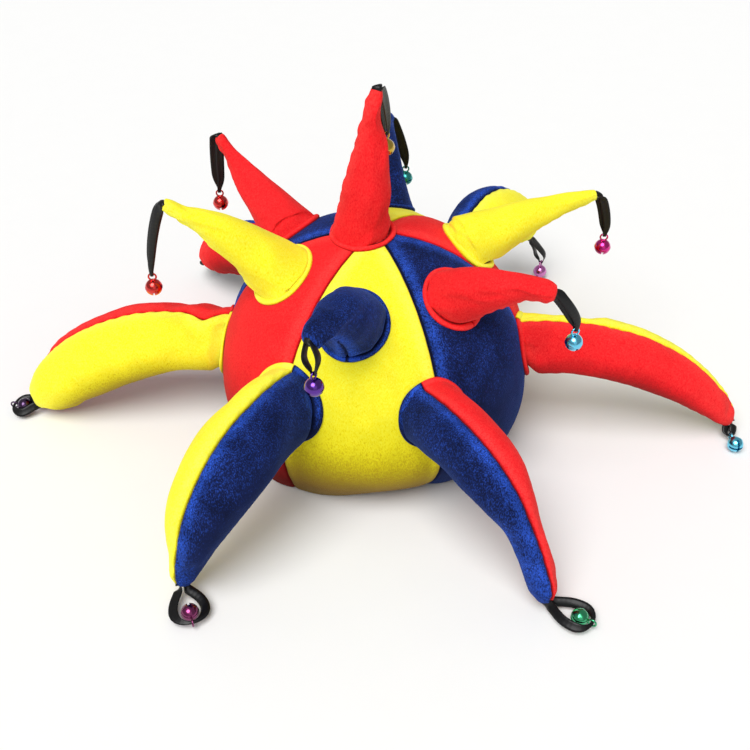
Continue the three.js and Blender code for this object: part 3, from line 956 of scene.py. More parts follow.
def body_rings(on, angle, from_seam):
    """Rings of a stuffed piece's body from its groove to its tip, and how far each point is from its base."""
    sewing, fleece, row = settings("sewing"), settings("fleece"), STUFFED[on]
    start = base_edge(row, angle)
    length = spine_length(row)
    count = int(length / fleece.grid)
    share = np.linspace(0, 1, count + 1)[1:, None]
    along = start + (1 - start) * share
    distance = share * (1 - start) * length
    waist = (lip_width(row) - sewing.lip_out) * (1 - smooth(distance / sewing.waist))
    turns = angle + 0 * along
    _, out, radius = skin(row, along, turns, waist)
    away = from_seam * radius
    inset = waist + rolled(away, sewing.roll) * smooth(distance / sewing.waist)
    waver = WAVER * lumps(out * WAVER_SPREAD + along[..., None], WAVER_SIZE)
    ripple = np.cos(2 * np.pi * distance / sewing.pucker_pitch + waver)
    pucker = sewing.pucker * (PUCKER_LEVEL + ripple) * np.exp(-away / PUCKER_REACH)
    inset = inset + pucker * smooth(distance / PUCKER_WHOLE)
    points, _, _ = skin(row, along, turns, inset)
    points = points + filled(on, share[:, 0], angle) * smooth(distance / FILLING_WHOLE)[..., None]
    above, normal = over_crown(points)
    low = np.maximum(CROWN_CLEAR - above, 0) * (distance < NEAR_BASE)
    return points + normal * low[..., None], distance


# How far the filling moves each simulated point of each stuffed piece
FILLING = {}


def spline_weights(places, count, closed):
    """Weights of evenly spaced points for a smooth curve through places given in steps between the points."""
    apart = places[:, None] - np.arange(count)
    if closed:
        apart = (apart + count / 2) % count - count / 2
    apart = np.abs(apart)
    near = 2 / 3 - apart ** 2 + apart ** 3 / 2
    weights = np.where(apart < 1, near, np.maximum(2 - apart, 0) ** 3 / 6)
    return weights / weights.sum(axis=1, keepdims=True)


def filled(on, share, angle):
    """How far the filling moves the points of a stuffed piece at shares of its length and angles round it."""
    if on not in FILLING:
        return 0
    moves = FILLING[on]
    rows, columns, _ = moves.shape
    along = spline_weights(share * (rows - 1), rows, False)
    around = spline_weights(angle / (2 * np.pi) % 1 * columns, columns, True)
    return np.einsum("ir,rck,jc->ijk", along, moves, around)


# Points along a stuffed piece's middle line that its length is measured with
SPINE_STEPS = 60


def spine_length(row):
    """The length of a stuffed piece's middle line."""
    points, _ = spine(row, np.linspace(0, 1, SPINE_STEPS))
    return float(np.linalg.norm(np.diff(points, axis=0), axis=1).sum())


# The simulated cloth starts this share of its girth inside its seams, and is then blown up by the filling
LOOSE_SHARE = 0.04
FILLING_FRAMES = 20
FILLING_CLOTH = {
    "quality": 5,
    "mass": 0.15,
    "tension_stiffness": 15,
    "compression_stiffness": 15,
    "bending_stiffness": 0.3,
    "use_pressure": True,
    "uniform_pressure_force": 4,
}


class HAT_OT_fill_pieces(bpy.types.Operator):
    """Fills the horns and the arms: a cloth simulation swells their loose cloth between its seams"""

    bl_idname = "hat.fill_pieces"
    bl_label = "Fill pieces"

    def execute(self, context):
        FILLING.clear()
        sewing = settings("sewing")
        columns = sewing.fill_columns
        angle = np.linspace(0, 2 * np.pi, columns, endpoint=False)
        grids, faces, held, count = {}, [], [], 0
        for on, row in STUFFED.items():
            start = base_edge(row, angle)
            rows = int(spine_length(row) / sewing.fill_grid)
            along = start + (1 - start) * np.linspace(0, 1, rows)[:, None]
            turns = angle + 0 * along
            sewn, _, girth = skin(row, along, turns, 0 * along)
            loose, _, _ = skin(row, along, turns, LOOSE_SHARE * girth)
            pins = np.zeros(along.shape)
            pins[[0, -1]] = 1
            seams = [columns // 4] if "colour" in row else [columns // 4, 3 * columns // 4]
            pins[:, seams] = 1
            loose[pins > 0] = sewn[pins > 0]
            around = loose.reshape(-1, 3) - loose.mean(axis=(0, 1))
            tube = np.array(outward(around, grid_faces(rows, columns, True)))
            faces.extend((tube + count).tolist())
            count += rows * columns
            held.append(pins.ravel())
            grids[on] = (sewn, loose)
        mesh = bpy.data.meshes.new("loose_cloth")
        start_points = np.concatenate([loose.reshape(-1, 3) for _, loose in grids.values()])
        mesh.from_pydata(start_points.tolist(), [], faces)
        cloth = bpy.data.objects.new("loose_cloth", mesh)
        context.scene.collection.objects.link(cloth)
        group = cloth.vertex_groups.new(name="sewn")
        group.add(np.flatnonzero(np.concatenate(held)).tolist(), 1, "REPLACE")
        swell = cloth.modifiers.new("filling", "CLOTH")
        swell.settings.vertex_group_mass = group.name
        for name, value in FILLING_CLOTH.items():
            setattr(swell.settings, name, value)
        swell.settings.shrink_min = -sewing.fill_spare
        swell.settings.effector_weights.gravity = 0
        swell.collision_settings.use_collision = False
        for frame_number in range(1, FILLING_FRAMES + 1):
            context.scene.frame_set(frame_number)
        moved = cloth.evaluated_get(context.evaluated_depsgraph_get()).to_mesh()
        points = np.zeros(3 * count, dtype=np.float32)
        moved.vertices.foreach_get("co", points)
        points = points.reshape(-1, 3).astype(float)
        first = 0
        for on, (sewn, _) in grids.items():
            size = sewn.shape[0] * sewn.shape[1]
            moves = points[first:first + size].reshape(sewn.shape) - sewn
            reach = np.linalg.norm(moves, axis=-1, keepdims=True)
            FILLING[on] = moves * np.minimum(1, sewing.fill_cap / np.maximum(reach, 1e-9))
            first += size
        bpy.data.objects.remove(cloth)
        bpy.data.meshes.remove(mesh)
        context.scene.frame_set(1)
        return {"FINISHED"}


# A tip is rounded off in these turns, in degrees, to this share of its girth
TIP_TURNS = (25, 50, 70)
TIP_REACH = 0.3


def tip_rings(ring, ahead):
    """Rings that round a tip off towards its middle, and the pole."""
    middle = ring.mean(axis=0)
    reach = np.linalg.norm(ring - middle, axis=1).mean() * TIP_REACH
    turns = np.radians(TIP_TURNS)
    rings = [middle + (ring - middle) * math.cos(turn) + ahead * reach * math.sin(turn) for turn in turns]
    return np.array(rings), middle + ahead * reach


# Width of a soft hollow in a stuffed piece
STUFFED_HOLLOW = 22 * MM


def stuffed_mesh(rings, poles, relief):
    """Points and faces of a stuffed piece with its sag and pile."""
    normals = grid_normals(rings, True)
    volume_way = dot(normals, rings - rings.mean(axis=1, keepdims=True)).sum()
    normals = normals * np.sign(volume_way)
    hollow = lumps(rings, STUFFED_HOLLOW) * settings("fleece").sag * relief
    rings = rings + normals * hollow[..., None]
    return loft(off_floor(pile(rings, normals, relief)), *poles)


# The pile at a seam: the share that it is sunk to and where it has risen; then how strong a painted highlight
# beside the seam is, where it lies and how far it spreads
SUNK = {"horn": 0.4, "arm": 0.2, "gore": 0.45, "base": 0.1}
NAP_RISEN = 1.6 * MM
SEAM_HIGHLIGHT = 0.5
SEAM_HIGHLIGHT_PLACE = 4.5 * MM
SEAM_HIGHLIGHT_SPREAD = 4 * MM


def seam_nap_and_highlight(distance, seam):
    """How far the pile stands up at distances from a kind of seam: sunk in it, with a painted highlight just
    beside it.
    """
    risen = SUNK[seam] + (1 - SUNK[seam]) * smooth(distance / NAP_RISEN)
    return risen * (1 + SEAM_HIGHLIGHT * np.exp(-(((distance - SEAM_HIGHLIGHT_PLACE) / SEAM_HIGHLIGHT_SPREAD) ** 2)))


# Painted shade on an arm's underside begins where the way out of it rises less than this
UNDERSIDE_SHADE_FROM = 0.3


def painted_underside_shade(rings, middle):
    """Painted shade under an arm: how far its pile stands up round the middle of each ring, less where the
    way out points down.
    """
    down = (UNDERSIDE_SHADE_FROM - unit(rings - middle)[..., 2]) / (UNDERSIDE_SHADE_FROM + 1)
    return 1 - settings("fleece").painted_underside_shade * smooth(down)


def base_nap_and_shade(rows, lip, distance):
    """How far the pile stands up in each ring of a stuffed piece, pressed down in the groove of its lip, with
    painted highlight on the lip's crest and beside its groove and painted shade under its edge.
    """
    nap = np.ones((rows, 1))
    nap[:lip, 0] = LIP_NAP_AND_SHADE
    body = distance.mean(axis=1)
    nap[lip:lip + len(body), 0] = seam_nap_and_highlight(body, "base")
    return nap


# Points round a horn and round half an arm, steps across the flat between an arm's halves, how far from a
# seam in radians an arm's relief is whole, how far the pole of half an arm stands out, and how far the pile
# stands up at the poles of the root and the tip
HORN_COLUMNS = 96
ARM_COLUMNS = 60
FLAT_STEPS = 10
RELIEF_WHOLE = 0.15
POLE_OUT = 0.4 * MM
POLE_NAP = (0, 1)


def lip_root(centre):
    """The pole under a stuffed piece's lip."""
    return settled(centre, LIP_SECTION[0][1] * settings("sewing").lip_height)


class HAT_OT_add_horns(bpy.types.Operator):
    """Sews seven stuffed horns on the crown"""

    bl_idname = "hat.add_horns"
    bl_label = "Add horns"

    def execute(self, context):
        angle = np.linspace(0, 2 * np.pi, HORN_COLUMNS, endpoint=False)
        for name in HORNS:
            row = STUFFED[f"horn_{name}"]
            edge = sewn_edge(row, angle)
            centre = edge.mean(axis=0)
            lip = lip_rings(row, edge, centre)
            from_seam = np.abs((angle + 0.5 * np.pi) % (2 * np.pi) - np.pi)
            body, distance = body_rings(f"horn_{name}", angle, from_seam)
            _, ahead = spine(row, np.array(1.0))
            tip, pole = tip_rings(body[-1], ahead)
            rings = np.concatenate([lip, body, tip])
            relief = np.ones(rings.shape[:2])
            points, faces = stuffed_mesh(rings, (lip_root(centre), pole), relief)
            girth = np.linalg.norm(rings - rings.mean(axis=1, keepdims=True), axis=-1)
            # The nap darkens the seam and paints highlight beside it, highlight on the lip's crest and shade
            # under its edge
            nap = seam_nap_and_highlight(from_seam * girth, "horn") * base_nap_and_shade(len(rings), len(lip), distance)
            made = (f"plush_horn_{name}", points, faces, row["colour"], f"horn_{name}")
            piece = add_fleece(*made, nap, POLE_NAP)
        return {"FINISHED"}


class HAT_OT_add_arms(bpy.types.Operator):
    """Sews six stuffed arms of two colours on the crown"""

    bl_idname = "hat.add_arms"
    bl_label = "Add arms"

    def execute(self, context):
        for name, row in ARMS.items():
            for hand, (half, colour) in zip((-1, 1), row["halves"]):
                angle = np.linspace(-np.pi / 2, np.pi / 2, ARM_COLUMNS)
                if hand < 0:
                    angle = np.pi - angle
                edge = sewn_edge(row, angle)
                lip = lip_rings(row, edge, (edge[0] + edge[-1]) / 2)
                from_seam = np.pi / 2 - np.abs(angle - (0 if hand > 0 else np.pi))
                body, distance = body_rings(f"arm_{name}", angle, from_seam)
                _, ahead = spine(row, np.array(1.0))
                tip, _ = tip_rings(body[-1], ahead)
                arcs = np.concatenate([lip, body, tip])
                share = np.linspace(0, 1, FLAT_STEPS)[1:-1, None]
                walls = arcs[:, None, -1] * (1 - share) + arcs[:, None, 0] * share
                rings = np.concatenate([arcs, walls], axis=1)
                relief = np.zeros(rings.shape[:2])
                relief[:, :ARM_COLUMNS] = smooth(from_seam / RELIEF_WHOLE)
                root = lip_root(rings[0].mean(axis=0))
                pole = rings[-1].mean(axis=0) + ahead * POLE_OUT
                points, faces = stuffed_mesh(rings, (root, pole), relief)
                girth = np.linalg.norm(arcs - arcs.mean(axis=1, keepdims=True), axis=-1)
                nap = np.zeros(rings.shape[:2])
                middle = (arcs[:, :1] + arcs[:, -1:]) / 2
                # Painted shade darkens each half's underside, on top of the seam's pressed pile and painted
                # highlight
                nap[:, :ARM_COLUMNS] = seam_nap_and_highlight(from_seam * girth, "arm") * painted_underside_shade(arcs, middle)
                nap = nap * base_nap_and_shade(len(rings), len(lip), distance)
                made = (f"plush_arm_{name}_{half}", points, faces, colour, f"arm_{name}_{half}")
                piece = add_fleece(*made, nap, POLE_NAP)
        return {"FINISHED"}


# What the tree of the stitches is given, the shortest and longest stitch as shares, and points round a base
STITCH_INPUTS = {
    "Path": "Geometry",
    "Pitch": "Float",
    "Stitch": "Float",
    "Thread": "Float",
    "Seed": "Int",
    "Material": "Material",
}
SHORTEST = 0.82
LONGEST = 1.08
BASE_STEPS = 120


def stitch_tree():
    """Geometry nodes that lay stitches along the edges of a mesh."""
    tree = bpy.data.node_groups.new("stitch_row", "GeometryNodeTree")
    for name, kind in STITCH_INPUTS.items():
        tree.interface.new_socket(name, in_out="INPUT", socket_type=f"NodeSocket{kind}")
    tree.interface.new_socket("Stitches", in_out="OUTPUT", socket_type="NodeSocketGeometry")
    given = add_node(tree, "NodeGroupInput").outputs
    curve = add_node(tree, "GeometryNodeMeshToCurve", {"Mesh": given["Path"]}).outputs["Curve"]
    spaced = add_node(
        tree, "GeometryNodeResampleCurve", {"Curve": curve, "Length": given["Pitch"]}, mode="LENGTH"
    ).outputs["Curve"]
    grain = add_node(
        tree, "GeometryNodeMeshUVSphere", {"Segments": 8, "Rings": 6, "Radius": 0.5}
    ).outputs["Mesh"]
    tangent = add_node(tree, "GeometryNodeInputTangent").outputs["Tangent"]
    laid = add_node(
        tree, "FunctionNodeAlignRotationToVector", {"Vector": tangent}, axis="X"
    ).outputs["Rotation"]
    uneven = add_node(
        tree, "FunctionNodeRandomValue", {2: SHORTEST, 3: LONGEST, "Seed": given["Seed"]}, data_type="FLOAT"
    ).outputs[1]
    long = add_node(tree, "ShaderNodeMath", {0: given["Stitch"], 1: uneven}, operation="MULTIPLY").outputs[0]
    size = add_node(
        tree, "ShaderNodeCombineXYZ", {"X": long, "Y": given["Thread"], "Z": given["Thread"]}
    ).outputs["Vector"]
    stitches = add_node(
        tree,
        "GeometryNodeInstanceOnPoints",
        {"Points": spaced, "Instance": grain, "Rotation": laid, "Scale": size},
    ).outputs["Instances"]
    real = add_node(tree, "GeometryNodeRealizeInstances", {"Geometry": stitches}).outputs["Geometry"]
    dyed = add_node(
        tree, "GeometryNodeSetMaterial", {"Geometry": real, "Material": given["Material"]}
    ).outputs["Geometry"]
    add_node(tree, "NodeGroupOutput", {"Stitches": dyed})
    return tree


def stitch_path(row, angle):
    """The line that a row of stitches follows in the groove of a base, at angles round it."""
    centre = sewn_edge(row, np.array((-np.pi / 2, np.pi / 2))).mean(axis=0)
    groove = lip_rings(row, sewn_edge(row, angle), centre)[-1]
    return settled(groove, settings("sewing").thread)


class HAT_OT_add_stitches(bpy.types.Operator):
    """Sews a row of stitches round the base of every horn and arm"""

    bl_idname = "hat.add_stitches"
    bl_label = "Add stitches"

    def execute(self, context):
        sewing = settings("sewing")
        full = np.linspace(0, 2 * np.pi, BASE_STEPS)
        half = np.linspace(-np.pi / 2, np.pi / 2, BASE_STEPS // 2)
        lines = {colour: [] for colour in FLEECE_LOOKS}
        for row in STUFFED.values():
            if "colour" in row:
                lines[row["colour"]].append(stitch_path(row, full))
                continue
            for turn, (_, colour) in zip((np.pi, 0), row["halves"]):
                lines[colour].append(stitch_path(row, half + turn))
        tree = stitch_tree()
        sockets = {item.name: item.identifier for item in tree.interface.items_tree if item.in_out == "INPUT"}
        for seed, (colour, paths) in enumerate(lines.items()):
            points, edges = np.concatenate(paths), []
            first = 0
            for line in paths:
                edges.extend((first + step, first + step + 1) for step in range(len(line) - 1))
                first += len(line)
            mesh = bpy.data.meshes.new("stitch_path")
            mesh.from_pydata(points.tolist(), edges, [])
            path = bpy.data.objects.new("stitch_path", mesh)
            context.scene.collection.objects.link(path)
            rows = path.modifiers.new("stitches", "NODES")
            rows.node_group = tree
            rows[sockets["Pitch"]] = sewing.pitch
            rows[sockets["Stitch"]] = sewing.stitch
            rows[sockets["Thread"]] = 2 * sewing.thread
            rows[sockets["Seed"]] = seed
            rows[sockets["Material"]] = thread_material(colour)
            context.view_layer.update()
            made = bpy.data.meshes.new_from_object(path.evaluated_get(context.evaluated_depsgraph_get()))
            bpy.data.objects.remove(path)
            bpy.data.meshes.remove(mesh)
            made.name = f"stitches_{colour}"
            made.shade_smooth()
            add_mesh(made, f"fleece_{colour}")
        return {"FINISHED"}


# Gores: steps of the profile, points across a gore, the shares of even and of closer spacing towards its
# seams, and half the gap at a seam
PROFILE_STEPS = 2000
GORE_COLUMNS = 84
EVEN_SHARE = 0.45
CLOSER_SHARE = 0.55
GORE_GAP = 0.15 * MM

# A gore's seam rolls in by a share of a stuffed piece's roll, and less this near to the axis. Its rim rolls
# in with a radius of its own, by a share of that.
GORE_ROLL = 0.6
TOP_FADE = 20 * MM
RIM_ROLL = 2 * MM
RIM_SHARE = 0.6

# A gore's puckers: their pitch and depth as shares of a stuffed piece's, and how far they reach from a seam
GORE_PITCH = 1.6
GORE_PUCKER = 0.5
GORE_PUCKER_REACH = 8 * MM

# Width of a gore's soft hollows, how far from a seam they are whole, and how far from a seam or the rim the
# pile is whole
GORE_HOLLOW = 38 * MM
HOLLOW_WHOLE = 12 * MM
PILE_WHOLE = 2 * MM

# How much thicker the cloth is at its hem, over what height that begins, how much of a roll it is thinner by,
# and how thin it is at the least
HEM_EXTRA = 0.7
HEM_STEP = 3 * MM
ROLL_THINS = 0.6
THINNEST = 1.2 * MM

# The painted shade's nap at the rim, where it is darkest, and how far the pile stands up inside the crown
RIM_SHADE_NAP = 0.05
INSIDE_NAP = 0.5


class HAT_OT_add_gores(bpy.types.Operator):
    """Sews the crown from six gores"""

    bl_idname = "hat.add_gores"
    bl_label = "Add gores"

    def execute(self, context):
        crown, sewing, fleece = settings("crown"), settings("sewing"), settings("fleece")
        top = math.degrees(math.acos((TOP_HOLE / crown.radius) ** (DOME_POWER / 2)))
        fine = np.linspace(rim_latitude(), top, PROFILE_STEPS)
        radius, height, _, _ = crown_profile(fine)
        run = np.concatenate([[0], np.cumsum(np.hypot(np.diff(radius), np.diff(height)))])
        rows = int(run[-1] / fleece.grid)
        latitude = np.interp(np.linspace(0, run[-1], rows), run, fine)[:, None]
        from_rim = np.linspace(0, run[-1], rows)[:, None]
        even = np.linspace(-1, 1, GORE_COLUMNS)
        across = EVEN_SHARE * even + CLOSER_SHARE * np.sin(np.pi / 2 * even)
        radius, _, _, _ = crown_profile(latitude)
        half = HALF_GORE - np.degrees(GORE_GAP / radius)
        for index, (name, colour) in enumerate(GORES.items()):
            azimuth = index * 2 * HALF_GORE + half * across
            from_seam = np.radians(half * (1 - np.abs(across))) * radius
            roll = rolled(from_seam, GORE_ROLL * sewing.roll) * smooth(radius / TOP_FADE)
            roll = roll + rolled(from_rim, RIM_ROLL) * RIM_SHARE
            ripple = 0.5 + 0.5 * np.cos(2 * np.pi * from_rim / (GORE_PITCH * sewing.pucker_pitch) + index)
            roll = roll + GORE_PUCKER * sewing.pucker * ripple * np.exp(-from_seam / GORE_PUCKER_REACH)
            outer = crown_point(azimuth, latitude + 0 * azimuth, -roll)
            _, normals = over_crown(outer)
            share = smooth(from_seam / PILE_WHOLE) * smooth(from_rim / PILE_WHOLE)
            hollow = lumps(outer, GORE_HOLLOW) * fleece.sag * smooth(from_seam / HOLLOW_WHOLE)
            outer = outer + normals * hollow[..., None]
            turned = crown.cloth * (1 + HEM_EXTRA * smooth((crown.hem - from_rim) / HEM_STEP))
            inner = outer - normals * np.maximum(turned - ROLL_THINS * roll, THINNEST)[..., None]
            points, faces = shell(off_floor(pile(outer, normals, share)), off_floor(inner))
            # Painted shade: the nap falls towards the rim and darkens the lower crown; seams are pressed
            # darker, with a painted highlight beside them
            nap = seam_nap_and_highlight(from_seam, "gore") * (RIM_SHADE_NAP + (1 - RIM_SHADE_NAP) * smooth(from_rim / crown.painted_rim_shade))
            made = (f"fleece_gore_{name}", points, faces, colour, f"crown_panel_{name}")
            piece = add_fleece(*made, nap, np.full(nap.size, INSIDE_NAP))
        return {"FINISHED"}


# Ribbons and bells


# How far off a tip a ribbon is seated, on one that points up and on any other
UPRIGHT_SEAT = -0.6 * MM
SEAT = 0.35 * MM


def hanging(on):
    """A ribbon's seat, its tip's heading, its way out, and its bell's place, way back and width."""
    trim = settings("trim")
    _, (azimuth, radius, height) = BELLS[on]
    tip, ahead = spine(STUFFED[on], np.array(1.0))
    place = polar(azimuth, radius * MM, height * MM)
    homeward = unit((tip - place) * (1, 1, 0))
    up = np.array((0.0, 0.0, 1.0))
    if height < LYING_HEIGHT:
        leaving, width = -homeward, up
        back = -homeward if "round" in RIBBONS[on] else homeward
    else:
        falls = ahead[2] > UPRIGHT_TIP
        heading = -homeward if falls else unit(ahead * (1, 1, 0))
        leaving, width = unit(heading + ahead * (FALLING_LEAD if falls else 1)), np.cross(heading, up)
        back = up
    sideways = unit(np.cross(leaving, width))
    legs = trim.space + trim.satin
    overhang = trim.ribbon / 2 * abs(float(width @ ahead)) + legs * abs(float(sideways @ ahead))
    rise = (UPRIGHT_SEAT if ahead[2] > UPRIGHT_TIP else SEAT) + overhang
    return tip + ahead * rise, ahead, leaving, place, back, width


def facing(on, heading, width):
    """The way of a ribbon's breadth where its flat looks to its own side, nearest to a given width."""
    azimuth, elevation = RIBBONS[on]["faces"]
    look = polar(azimuth, math.cos(math.radians(elevation)), math.sin(math.radians(elevation)))
    broad = unit(np.cross(heading, look))
    return broad * (1 if (broad * width).sum() > 0 else -1)


def bell_side(on):
    """The way across the wire loop of a bell."""
    _, _, _, _, back, width = hanging(on)
    lies = BELLS[on][1][2] < LYING_HEIGHT
    return width if lies else facing(on, -back, width)


# A ribbon's path: points of a leg and of the turn, how straight it comes to the turn, where it has turned its
# flat and slid apart as shares of the way, how late it gathers, and how much of each end is in the tip
LEG_STEPS = 26
TURN_STEPS = 13
TURN_LEAD = 0.28
TURNED_BY = 0.3
SLID_BY = 0.25
GATHER_POWER = 5
BURIED = 4 * MM


def ribbon_path(on):
    """A ribbon loop's centre line, its heading, its breadth and the way of its breadth at each point."""
    trim = settings("trim")
    seat, ahead, leaving, place, back, width = hanging(on)
    row = RIBBONS[on]
    lies = BELLS[on][1][2] < LYING_HEIGHT
    goes_round = "round" in row
    radius = row["round"] * MM if goes_round else trim.turn
    onward = back if goes_round else -back
    turn = place + back * (trim.bell + trim.loop + (-radius if goes_round else trim.loop))
    span = float(np.linalg.norm(seat - turn))
    corners = [seat, seat + leaving * min(span / 3, row["lead"] * MM), turn - onward * TURN_LEAD * span, turn]
    t = np.linspace(0, 1, LEG_STEPS)[:-1, None]
    middle = (1 - t) ** 3 * corners[0] + 3 * t * (1 - t) ** 2 * corners[1]
    middle = middle + 3 * t ** 2 * (1 - t) * corners[2] + t ** 3 * corners[3]
    heading = (1 - t) ** 2 * (corners[1] - corners[0]) + 2 * t * (1 - t) * (corners[2] - corners[1])
    heading = unit(heading + t ** 2 * (corners[3] - corners[2]))
    square = unit(width - heading * dot(heading, width))
    turned = smooth(t / TURNED_BY)
    broad = unit(square * (1 - turned) + facing(on, heading, square) * turned)
    sideways = np.cross(heading, square if lies else broad)
    bow = np.sin(np.pi * t ** (math.log(0.5) / math.log(row["widest"]))) ** 2
    parted = trim.space + (radius - trim.space) * np.sin(np.pi / 2 * t) ** 2 + row["apart"] * MM * bow
    slid = smooth(t / SLID_BY) * smooth((1 - t) / SLID_BY)
    offset = sideways * parted + broad * row["slide"] * MM * slid
    last = facing(on, onward, width)
    swing = unit(np.cross(onward, width if lies else last))
    bend = np.linspace(0, np.pi, TURN_STEPS)[:, None]
    round_turn = turn + (swing * np.cos(bend) + onward * np.sin(bend)) * radius
    leg_end = trim.ribbon if goes_round else trim.gathered
    wide = trim.ribbon + (leg_end - trim.ribbon) * t[:, 0] ** GATHER_POWER
    turn_wide = leg_end + (trim.gathered - leg_end) * np.sin(bend[:, 0]) ** 2
    if goes_round:
        turn_ways = facing(on, onward * np.cos(bend) - swing * np.sin(bend), last * np.cos(bend))
        way_up = -broad
    else:
        turn_ways = np.tile(last, (len(bend), 1))
        way_up = broad
    buried = ahead * BURIED
    down, up = middle + offset, middle - offset
    centre = np.concatenate([[down[0] - buried], down, round_turn, up[::-1], [up[0] - buried]])
    breadth = np.concatenate([wide[:1], wide, turn_wide, wide[::-1], wide[:1]])
    ways = np.concatenate([broad[:1], broad, turn_ways, way_up[::-1], way_up[:1]])
    along = unit(np.gradient(centre, axis=0))
    return centre, along, breadth, unit(ways - along * dot(along, ways))


# A ribbon's section as shares of half its breadth and half its thickness, how far it bows as a share of its
# breadth, and the square of the share across it where the bow is nothing
RIBBON_SECTION = np.array([
    (-1, -0.4), (-0.5, -1), (0, -1), (0.5, -1), (1, -0.4),
    (1, 0.4), (0.5, 1), (0, 1), (-0.5, 1), (-1, 0.4),
])
BOW = 0.08
BOW_LEVEL = 0.4


class HAT_OT_add_ribbons(bpy.types.Operator):
    """Hangs a satin ribbon loop at every tip"""

    bl_idname = "hat.add_ribbons"
    bl_label = "Add ribbons"

    def execute(self, context):
        trim = settings("trim")
        across, thick = RIBBON_SECTION.T
        for on in BELLS:
            centre, along, breadth, broad = ribbon_path(on)
            thin = np.cross(along, broad)
            over = across * breadth[:, None] / 2
            leg = np.sign(np.linspace(1, -1, len(centre)))[:, None]
            up = thick * trim.satin / 2 + BOW * breadth[:, None] * (across ** 2 - BOW_LEVEL) * leg
            rings = centre[:, None] + broad[:, None] * over[..., None] + thin[:, None] * up[..., None]
            points, faces = loft(off_floor(rings), centre[0], centre[-1])
            made = (f"satin_ribbon_{on}", points, faces, satin_material(), "satin_black", f"ribbon_{on}")
            piece = add_piece(*made)
            run = np.concatenate([[0], np.cumsum(np.linalg.norm(np.diff(centre, axis=0), axis=1))])
            flat = np.stack(np.broadcast_arrays(over, run[:, None]), axis=-1).reshape(-1, 2)
            flat = np.concatenate([flat, [(0, run[0]), (0, run[-1])]])
            layer = piece.data.uv_layers.new(name="ribbon")
            corners = np.zeros(len(piece.data.loops), dtype=np.int32)
            piece.data.loops.foreach_get("vertex_index", corners)
            layer.data.foreach_set("uv", flat[corners].astype(np.float32).ravel())
        return {"FINISHED"}


# Cuts in a bell's wall leave points this close together, which are merged
SLIVER = 0.02 * MM

# Bells: sides and rings of the ball, sides of the wire, the rib where the halves meet and its width, where
# the slots end as a share of the radius, and the angle in degrees from which an edge is sharp
BALL_SIDES = 40
BALL_RINGS = 26
WIRE_SIDES = 12
RIB = 0.25 * MM
RIB_WIDTH = 0.5 * MM
SLOT_TOP = -0.25
SHARP_EDGE = 40


def bell_mesh():
    """A jingle bell that hangs along -Z with its ball's middle at the origin, hollow, with crossed slots."""
    trim = settings("trim")
    turns = np.linspace(0, 2 * np.pi, BALL_SIDES, endpoint=False)

    def ball(radius, rib):
        rise = np.linspace(-np.pi / 2, np.pi / 2, BALL_RINGS)[1:-1, None]
        girth = radius * np.cos(rise) + rib * np.exp(-((radius * np.sin(rise) / RIB_WIDTH) ** 2))
        rings = np.stack(
            np.broadcast_arrays(girth * np.cos(turns), girth * np.sin(turns), radius * np.sin(rise)), axis=-1
        )
        points, faces = loft(rings, (0, 0, -radius), (0, 0, radius))
        return solid_object("ball", points, outward(points, faces))

    def block(size, middle):
        corners = np.array([(x, y, z) for x in (-1, 1) for y in (-1, 1) for z in (-1, 1)], dtype=float)
        faces = [[0, 1, 3, 2], [4, 6, 7, 5], [0, 4, 5, 1], [2, 3, 7, 6], [0, 2, 6, 4], [1, 5, 7, 3]]
        points = corners * np.array(size) / 2 + np.array(middle)
        return solid_object("slot", points, outward(points, faces))

    def ring():
        round_wire = np.linspace(0, 2 * np.pi, WIRE_SIDES, endpoint=False)
        girth = trim.loop + trim.wire * np.cos(round_wire)
        height = trim.bell + trim.loop + 0 * turns
        points = np.stack(
            np.broadcast_arrays(
                girth * np.cos(turns[:, None]),
                trim.wire * np.sin(round_wire) + 0 * turns[:, None],
                height[:, None] + girth * np.sin(turns[:, None]),
            ),
            axis=-1,
        )
        count = len(turns)
        closed = np.concatenate([points, points[:1]])
        faces = grid_faces(count + 1, WIRE_SIDES, True)
        faces = [[corner % (count * WIRE_SIDES) for corner in face] for face in faces]
        points = closed[:-1].reshape(-1, 3)
        return solid_object("loop", points, outward(points, faces))

    def solid_object(name, points, faces):
        mesh = bpy.data.meshes.new(name)
        mesh.from_pydata(np.asarray(points).tolist(), [], faces)
        made = bpy.data.objects.new(name, mesh)
        bpy.context.scene.collection.objects.link(made)
        return made

    body = ball(trim.bell, RIB)
    top = SLOT_TOP * trim.bell
    middle = (0, 0, top - trim.bell / 2)
    tools = [
        ("UNION", ring()),
        ("DIFFERENCE", ball(trim.bell - trim.wall, 0)),
        ("DIFFERENCE", block((trim.slot, 3 * trim.bell, trim.bell), middle)),
        ("DIFFERENCE", block((3 * trim.bell, trim.slot, trim.bell), middle)),
    ]
    for operation, tool in tools:
        cut = body.modifiers.new(operation, "BOOLEAN")
        cut.operation, cut.object, cut.solver = operation, tool, "EXACT"
    bpy.context.view_layer.update()
    mesh = bpy.data.meshes.new_from_object(body.evaluated_get(bpy.context.evaluated_depsgraph_get()))
    for made in [body] + [tool for _, tool in tools]:
        bpy.data.objects.remove(made)
    clean = bmesh.new()
    clean.from_mesh(mesh)
    bmesh.ops.remove_doubles(clean, verts=clean.verts, dist=SLIVER)
    bmesh.ops.dissolve_degenerate(clean, edges=clean.edges, dist=SLIVER)
    if any(not edge.is_manifold for edge in clean.edges):
        raise RuntimeError("a bell's wall is open")
    clean.to_mesh(mesh)
    clean.free()
    return mesh


